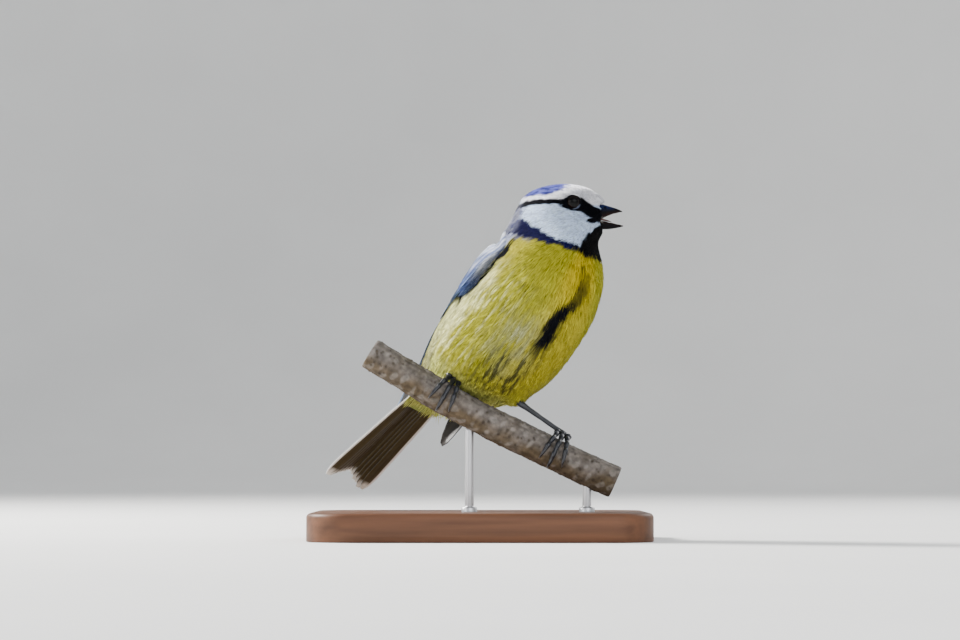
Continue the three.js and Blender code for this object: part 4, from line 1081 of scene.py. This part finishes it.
# How many, half-width, lift and tilt, then the first and the last feather's root and tip as (along, across),
# and the tones of the outer web, the inner web and the tip, with the tip's share of the length
WING_TIERS = {
    "primaries": (
        9, 2.0, 0.95, 0.30, [(3, 0.25), (1, 0.42)], [(-50.5, 0.36), (-40, 0.68)], (EDGE, SLATE, SLATE, 0.03),
    ),
    "secondaries": (
        7, 1.9, 1.2, 0.32, [(2, 0.34), (2, 0.58)], [(-31.5, 0.37), (-27, 0.66)], (BLUE, SLATE, EDGE, 0.03),
    ),
    "tertials": (
        4, 2.7, 1.5, 0.30, [(2, 0.60), (3, 0.88)], [(-26, 0.68), (-12, 0.95)], (BLUE, SLATE, WHITE, 0.035),
    ),
    "primary_coverts": (
        5, 0.9, 1.5, 0.24, [(7, 0.08), (7, 0.22)], [(-12, 0.2), (-8.5, 0.3)], (EDGE, DEEP, EDGE, 0.03),
    ),
    "greater_coverts": (
        9, 1.55, 1.7, 0.28, [(8, 0.18), (8, 0.88)], [(-7.5, 0.22), (-5, 0.92)], (BLUE, DEEP, WHITE, 0.15),
    ),
    "median_coverts": (
        8, 1.6, 2.0, 0.24, [(12, 0.12), (12, 0.88)], [(0.5, 0.12), (1.5, 0.88)], (BLUE, DEEP, BLUE, 0.03),
    ),
}


def vane_width(at):
    """A vane's half-width at each place from root to tip, as a share of its widest."""
    rounded = np.sqrt(np.clip(1 - (np.clip(at - 0.84, 0, 1) / 0.165) ** 2.3, 0.02, 1))
    return np.interp(at, [0, 0.12, 0.45, 1], [0.5, 0.78, 1.0, 0.92]) * rounded


def vane_tones(at, k, outer, inner, end, white):
    base = np.where((k < -0.12)[..., None], outer, inner)
    tone = mix(base, srgb(0.08, 0.08, 0.10), hill(k, 0, 0.10) * 0.7)
    tone = mix(tone, EDGE, smooth(0.72, 0.98, np.abs(k)) * (k < 0) * 0.7)
    return mix(tone, end, smooth(1 - white, 1 - white * 0.6, at + 0.04 * (1 - np.abs(k))))


def build_wing(side, sign):
    pile = Pile()
    for count, half, lift, tilt, roots, tips, tones_of in WING_TIERS.values():
        roots, tips = np.array(roots, float), np.array(tips, float)
        steps = 22 if tips[0, 0] < -20 else 14
        at = (np.linspace(0, 1, steps) ** 0.85)[:, None]
        for f in np.arange(count) / (count - 1):
            root = roots[0] + f * (roots[1] - roots[0])
            tip = tips[0] + f * (tips[1] - tips[0])
            tip[0] += rng.uniform(-0.4, 0.4)
            along, middle = (root[i] + (tip[i] - root[i]) * at for i in (0, 1))
            span = np.linalg.norm(wing_points(sign, along, 1.0) - wing_points(sign, along, 0.0), axis=-1)
            width = vane_width(at) * (1 + rng.normal(0, 0.012, steps))[:, None]
            across = middle + WEB * width * half / np.maximum(span, 4)
            raised = lift - 0.5 * (1 - at) ** 2 + 0.12 * at - tilt * WEB * width
            raised = raised + 0.10 * SHAFT - 0.03 * np.cos(WEB * 40)
            thick = 0.2 * (1 - 0.5 * at) * (1 - 0.4 * np.abs(WEB))
            tops = wing_points(sign, along, across, raised)
            bottoms = wing_points(sign, along, across, raised - thick)
            tones = vane_tones(at, WEB, *tones_of) * rng.uniform(0.82, 1.1)
            slab(pile, tops, bottoms, tones, UNDER)

    # The core that the vanes lie on, darker towards its tip
    along, share = np.meshgrid(np.linspace(13.5, -27, 30), np.linspace(0, 1, 14), indexing="ij")
    low = 0.05 + 0.22 * smooth(3, -5, along)
    high = 0.95 - 0.33 * smooth(-2, -15, along)
    across = low + (high - low) * share
    tops = wing_points(sign, along, across, 0.8 - 0.4 * smooth(11, 13.5, along))
    core = mix(SLATE, EDGE, smooth(0.3, 0.1, across) * smooth(-8, 0, along))
    slab(pile, tops, wing_points(sign, along, across, -0.2), core, core)
    pile.piece("wing_feathers_" + side, vane_look, "flight_feather", "wing_" + side)


def build_tail():
    pile = Pile()
    at = np.linspace(0.08, 1, 30)[:, None]
    above, below, pale = srgb(0.22, 0.35, 0.58), srgb(0.235, 0.20, 0.12), srgb(0.42, 0.50, 0.62)
    inner = SLATE + (above - SLATE) * 0.4
    outermost = TAIL_HALF - 1
    for _, sign in SIDES:
        for i in range(TAIL_HALF):
            length = TAIL_LENGTH + 0.75 * min(i, 4) + rng.uniform(-0.3, 0.3)
            half = 2.1 * (0.62 + 0.38 * at) * vane_width(at)
            aside = 0.4 + i * (0.55 + 0.67 * at) + WEB * half
            up = 0.55 - 0.4 * i - 0.066 * at * i - 0.1 * WEB + 0.12 * SHAFT - 0.03 * np.cos(WEB * 36)
            thick = 0.22 * (1 - 0.45 * at) * (1 - 0.4 * np.abs(WEB))
            tops = tail_point(length * at, sign * aside, up)
            bottoms = tail_point(length * at, sign * aside, up - thick)
            tones = vane_tones(at, -WEB, above, inner, pale, 0.02)
            under = below * (1 - 0.25 * hill(WEB, 0, 0.12))[..., None]
            under = mix(under, srgb(0.80, 0.78, 0.74), smooth(0.965, 1.0, at + 0.03 * (1 - WEB**2)))
            if i == outermost:
                tones = mix(tones, WHITE, smooth(0.35, 0.6, WEB))
                under = mix(under, srgb(0.90, 0.88, 0.86), smooth(0.5, 0.75, WEB))
            slab(pile, tops, bottoms, tones, under)
    turn = circle(24)
    root = [
        tail_point(back, 2.3 * (1 + back / 60) * np.cos(turn), -1.3 + (0.8 - back / 40) * np.sin(turn))
        for back in (-1.0, 4.0, 9.0, 14.0, 20.0)
    ]
    loft(pile, np.array(root), PAINT["rump"] * 0.7)
    pile.piece("tail_feathers", vane_look, "flight_feather", "tail")


# The branch
def catmull(line, t):
    """The solids' centripetal curve through the branch's points."""
    points = np.concatenate([[2 * line[0] - line[1]], line, [2 * line[-1] - line[-2]]])
    i = np.clip(np.floor(t).astype(int), 0, len(line) - 2)
    f = (t - i)[:, None]
    p = [points[i + k] for k in range(4)]
    steps = [np.linalg.norm(b - a, axis=1, keepdims=True) for a, b in zip(p, p[1:])]
    d0, d1, d2 = (np.maximum(step, 1e-6) ** 0.5 for step in steps)
    p0, p1, p2, p3 = p
    m1 = ((p1 - p0) / d0 - (p2 - p0) / (d0 + d1) + (p2 - p1) / d1) * d1
    m2 = ((p2 - p1) / d1 - (p3 - p1) / (d1 + d2) + (p3 - p2) / d2) * d1
    return p1 + m1 * f + (3 * (p2 - p1) - 2 * m1 - m2) * f**2 + (2 * (p1 - p2) + m1 + m2) * f**3


PERCH_CURVE = catmull(PERCH_LINE, np.linspace(0, len(PERCH_LINE) - 1, 2001)).T
PERCH_FRONT = np.array([0, -1.0, 0])


def perch_frame(x):
    """Middle, direction and upper side of the branch at each x."""
    z = np.interp(x, *PERCH_CURVE)
    slope = np.interp(x, PERCH_CURVE[0], np.gradient(PERCH_CURVE[1], PERCH_CURVE[0]))
    along = unit(np.stack([np.ones_like(z), np.zeros_like(z), slope], -1))
    return np.stack([x, np.full_like(z, PERCH_Y), z], -1), along, unit(np.cross(along, -PERCH_FRONT))


PORES = 260
CUT_SHARES = (0.92, 0.86, 0.7, 0.5, 0.3, 0.12)


def build_perch():
    steps, around = 300, 96
    point, _, up = perch_frame(np.linspace(PERCH_LINE[0, 0], PERCH_LINE[-1, 0], steps))
    turn = circle(around)
    outward = up[:, None] * np.cos(turn)[None, :, None] + PERCH_FRONT * np.sin(turn)[None, :, None]
    flat = point[:, None] + outward * PERCH_RADIUS
    n = np.linspace(0, 17, steps)[:, None]
    radius = PERCH_RADIUS - 0.24 + 0.12 * np.sin(3 * turn + n * 0.7) + 0.1 * np.sin(2 * turn - n * 1.1)
    radius = radius + 0.05 * ripple(flat, 2.2, 31) + 0.03 * ripple(flat, 0.9, 32)
    radius = radius + 0.02 * ripple(flat * [0.4, 1, 0.4], 0.7, 33)
    grey, tan, dark = srgb(0.385, 0.36, 0.34), srgb(0.31, 0.265, 0.205), srgb(0.09, 0.07, 0.055)
    lower = smooth(0.35, -0.55, np.cos(turn))
    tone = mix(grey, tan, np.clip(lower + 0.2 * ripple(flat, 6, 34), 0, 1))
    tone = tone * (1 + 0.13 * ripple(flat, 1.4, 35))[..., None]
    flecks = smooth(0.5, 1.4, ripple(flat * [0.5, 1, 0.5], 1.1, 36))
    tone = mix(tone, srgb(0.62, 0.60, 0.58), 0.22 * flecks)
    pores = np.random.default_rng(5)
    for _ in range(PORES):
        x, angle = pores.uniform(-30, 37.5), pores.uniform(0, TURN)
        size, tall = pores.uniform(0.16, 0.36), pores.uniform(0.08, 0.24)
        dx = (point[:, 0] - x)[:, None] / size
        dt = ((turn - angle + math.pi) % TURN - math.pi) * PERCH_RADIUS / (size * 1.25)
        away = dx**2 + dt**2
        radius = radius + tall * np.exp(-away * 1.1)
        tone = mix(tone, dark, 0.85 * np.exp(-away * 0.9))
        tone = mix(tone, tan * 1.25, 0.7 * np.exp(-away * 5))
    ends = np.minimum(np.arange(steps), np.arange(steps)[::-1])
    radius = np.minimum(radius, GRIP - 0.02) - (0.3 * np.clip(1 - ends / 2, 0, 1) ** 2)[:, None]
    rings = point[:, None] + outward * radius[..., None]

    # The sawn ends: rings of paler wood inside the bark
    first, last = (
        np.array([point[end] + (rings[end] - point[end]) * share for share in CUT_SHARES]) for end in (0, -1)
    )
    bark_under, pale, heart = srgb(0.36, 0.26, 0.18), srgb(0.82, 0.72, 0.55), srgb(0.66, 0.52, 0.36)
    cut = np.array([bark_under, pale, pale * 0.92, pale, pale * 0.88, heart])[:, None]
    cut = cut * (1 + 0.06 * pores.normal(size=(len(CUT_SHARES), around)))[..., None]
    rings = np.concatenate([first[::-1], rings, last])
    tones = np.clip(np.concatenate([cut[::-1], tone, cut]), 0.003, 0.95)
    lofted("branch", bark_look, "bark", ["stand_perch"], rings, tones)


# Feet
LEG_DARK, LEG_PALE_AND_HIGHLIGHT = srgb(0.07, 0.08, 0.11), srgb(0.29, 0.33, 0.42)


def scaled_tube(pile, line, radii, sides, over, plates, lift=0.06):
    """A limb with overlapping plates along its upper side and small pads below."""
    f = np.linspace(0, 1, len(line))
    part = ((f * plates) % 1.0)[:, None]
    step = lift * (1 - part) ** 0.6 * smooth(0, 0.08, part)
    on_top = smooth(-0.2, 0.5, np.sin(circle(sides)))
    pad = 0.05 * np.abs(np.sin(f * plates * math.pi * 0.5))[:, None]
    # Each plate is lighter on the upper side, most just behind its raised front edge, partly the scales'
    # paler blue-grey and partly painted highlight; the step at that edge is darkened: painted shade
    tone = mix(LEG_DARK, LEG_PALE_AND_HIGHLIGHT, 0.55 * (1 - part) * on_top)
    tone = tone * (1 - 0.45 * smooth(0.10, 0.0, part) * on_top)[..., None]
    loft(pile, tube_rings(line, radii[:, None] + step * on_top + pad * (1 - on_top), sides, over), tone)


def build_foot(side, sign):
    point, along, up = (v[0] for v in perch_frame(np.array([FEET[side]], float)))

    def round_perch(toe, degrees, height):
        """Places on a toe's way round the branch, by angle from its top and height over its middle."""
        _, set_off, veer, start, *_ = toe
        turn = np.radians(degrees)[:, None]
        travelled = np.abs(turn - math.radians(start)) * FOOT_RISE
        reach = up * np.cos(turn) + PERCH_FRONT * np.sin(turn)
        return point + height[:, None] * reach + along * (sign * (set_off + veer * travelled))

    for toe in TOES:
        name, _, _, start, end, claw, plates = toe
        way = math.copysign(1, end - start)
        f = np.linspace(0, 1, 90)
        radii = (TOE_RADIUS - 0.14 * f) * (1 + 0.13 * np.cos(TURN * (3 * f + 0.5))) + 0.03
        line = round_perch(toe, start * 0.5 + (end - start * 0.5) * f, GRIP + radii + 0.07)
        over = unit(np.cross(np.gradient(line, axis=0), -along * way))
        pile = Pile()
        scaled_tube(pile, line, radii, 20, over, plates)
        pile.piece(f"toe_{name}_{side}_scales", leg_look, "leg", f"toe_{name}_{side}")
        g = np.linspace(-0.12, 1, 30)
        shown = np.clip(g, 0, 1)
        radii = 0.46 * (1 - shown) ** 0.8 + 0.05
        height = GRIP + radii + 0.5 * np.sin(math.pi * shown) + 0.1
        line = round_perch(toe, end + 0.3 + math.degrees(claw / FOOT_RISE) * way * g, height)
        tone = mix(srgb(0.08, 0.085, 0.11), srgb(0.20, 0.19, 0.20), smooth(0.3, 1, shown))
        claw_name, rings = f"claw_{name}_{side}", tube_rings(line, radii, 18, along, 1.15)
        lofted(claw_name + "_horn", claw_look, "claw", [claw_name], rings, tone[:, None])

    # The shank, with a pad over each toe's root
    sole = point + up * (FOOT_RISE + 0.7)
    f = np.linspace(-0.06, 1.08, 110)
    line = sole + f[:, None] * (ANKLES[side] - sole)
    pile = Pile()
    scaled_tube(pile, line, np.interp(f, *SHANK) - 0.04, 24, -PERCH_FRONT, 8, 0.08)
    pad = np.roll(ball(np.linspace(4, 176, 14), 18), -1, -1)
    pad = 0.95 * pad * (1 + 0.04 * ripple(pad * 2, 1.2, 61))[..., None]
    for toe in TOES:
        loft(pile, round_perch(toe, np.array([toe[3] * 0.42]), np.array([FOOT_RISE + 0.4])) + pad, LEG_DARK)
    pile.piece(f"shank_{side}_scales", leg_look, "leg", f"shank_{side}")


# The stand
def build_base():
    length, depth, height, bevel, corner = BASE.values()
    profile = [(0.0, 0.4), (0.12, 0.12), (0.4, 0.0), (height - bevel, 0.0)]
    for a in np.radians([15, 30, 45, 60, 75, 90]):
        profile.append((height - bevel + bevel * math.sin(a), bevel * (1 - math.cos(a))))
    profile += [(height, inset) for inset in (3.0, 8.0, 20.0, 33.0)]
    rings = []
    for z, inset in profile:
        r = max(corner - inset, 0.5)
        ring = []
        for quarter, (sx, sy) in enumerate([(1, 1), (-1, 1), (-1, -1), (1, -1)]):
            angle = np.radians(np.linspace(0, 90, 13) + quarter * 90)
            x = sx * (length / 2 - inset - r) + r * np.cos(angle)
            y = sy * (depth / 2 - inset - r) + r * np.sin(angle)
            ring.append(np.c_[x, y, np.full(13, z)])
        rings.append(np.concatenate(ring))
    rings = np.array(rings)
    grain = np.sin(rings[..., 1] * 0.9 + 1.6 * np.sin(rings[..., 0] * 0.05))
    tone = srgb(0.36, 0.23, 0.15) * (1 + 0.12 * grain)[..., None]
    lofted("base_board", wood_look, "base_wood", ["stand_base"], rings, tone)


def build_rod(number, x):
    """A round rod on a low collar, up into the branch."""
    point, _, up = perch_frame(np.array([float(x)]))
    top = point[0, 2] - (PERCH_RADIUS - 0.6) / up[0, 2]
    z = BASE["height"] + np.array([-0.5, 0.05, 1.2, 1.45, 1.5])
    z = np.concatenate([z, np.linspace(z[-1] + 0.3, top, 30)])
    radius = np.full(len(z), RODS["radius"])
    radius[:3] = RODS["collar"]
    radius[3] = RODS["collar"] - 0.25
    rings = turned(radius, z, 48) + [x, PERCH_Y, 0]
    lofted(f"rod_{number}", steel_look, "rod_steel", [f"stand_rod_{number}"], rings, srgb(0.74, 0.74, 0.75))


build_skin()
build_coat()
for side, sign in SIDES:
    build_eye(side, sign)
mandible("upper_mandible", UPPER_BILL, 1, "bill_upper")
mandible("lower_mandible", LOWER_BILL, -1, "bill_lower")
build_mouth()
for side, sign in SIDES:
    build_wing(side, sign)
    build_wing_coats(side, sign)
build_tail()
build_tail_coverts()
build_perch()
for side, sign in SIDES:
    build_foot(side, sign)
build_base()
for number, x in enumerate(RODS["x"], 1):
    build_rod(number, x)


# The room, the lights and the camera
FLOOR_RADIUS, FLOOR_CURVE, WALL_HEIGHT = 1700, 700, 1700


def build_room():
    """A round pale floor that curves up into a low wall all round."""
    t = np.radians(np.linspace(0, 90, 19))
    wall = FLOOR_RADIUS + FLOOR_CURVE
    radius = np.concatenate([[5, 300, 900, 1500], FLOOR_RADIUS + FLOOR_CURVE * np.sin(t), [wall, wall]])
    height = np.concatenate([[0, 0, 0, 0], FLOOR_CURVE * (1 - np.cos(t)), [1100, WALL_HEIGHT]])
    rings = turned(radius, height, 72)
    points = np.concatenate([rings.reshape(-1, 3), [[0, 0, 0]]])
    index = np.arange(len(points) - 1).reshape(-1, 72)
    index = np.c_[index, index[:, 0]]
    centre = np.stack([np.full(72, len(points) - 1), index[0, :-1], index[0, 1:]], -1)
    pile = Pile()
    pile.add(points, grid_quads(index)[:, ::-1], centre, srgb(0.95, 0.95, 0.945))
    pile.shape("floor", look_of("floor_paint", 0.8, (8, 0.98, 1.02), (60, 0.05, 0.0005)))


LIT_PLACE = Vector((0, PERCH_Y * MM, 0.06))


def area_light(name, place, size, power, colour=(1, 1, 1)):
    data = bpy.data.lights.new(name, "AREA")
    data.shape = "DISK"
    data.size = size
    data.energy = power
    data.color = colour
    made = bpy.data.objects.new(name, data)
    made.location = place
    made.rotation_euler = (LIT_PLACE - Vector(place)).to_track_quat("-Z", "Y").to_euler()
    bpy.context.scene.collection.objects.link(made)


build_room()
area_light("key", (-0.75, 0.30, 0.62), 0.3, 32.0, (1.0, 0.98, 0.94))
area_light("fill", (0.35, -1.0, 0.6), 0.9, 6.5, (0.95, 0.97, 1.0))
area_light("side", (-0.9, -0.6, 0.35), 0.7, 4.0)
area_light("back", (0.7, 0.7, 0.6), 0.6, 5.0)

world = bpy.data.worlds.new("studio")
bpy.context.scene.world = world
world.use_nodes = True
world.node_tree.nodes["Background"].inputs["Color"].default_value = (0.92, 0.95, 1.0, 1)
world.node_tree.nodes["Background"].inputs["Strength"].default_value = 0.55

# The picture is 960 pixels wide, and a millimetre at the bird takes 3.55 of them
CAMERA_DISTANCE, CAMERA_ELEVATION = 0.8, math.radians(-3)
PICTURE_WIDTH, PIXELS_PER_MM, SENSOR = 960, 3.55, 36
AIM = Vector((0, PERCH_Y * MM, 0.062))
camera_data = bpy.data.cameras.new("camera")
camera = bpy.data.objects.new("camera", camera_data)
bpy.context.scene.collection.objects.link(camera)
bpy.context.scene.camera = camera
back = Vector((0, -math.cos(CAMERA_ELEVATION), math.sin(CAMERA_ELEVATION)))
camera.location = AIM + back * CAMERA_DISTANCE
camera.rotation_euler = (-back).to_track_quat("-Z", "Y").to_euler()
camera_data.sensor_width = SENSOR
camera_data.lens = PIXELS_PER_MM * CAMERA_DISTANCE / MM * SENSOR / PICTURE_WIDTH
camera_data.clip_start = 0.01
camera_data.clip_end = 20

bpy.context.view_layer.update()
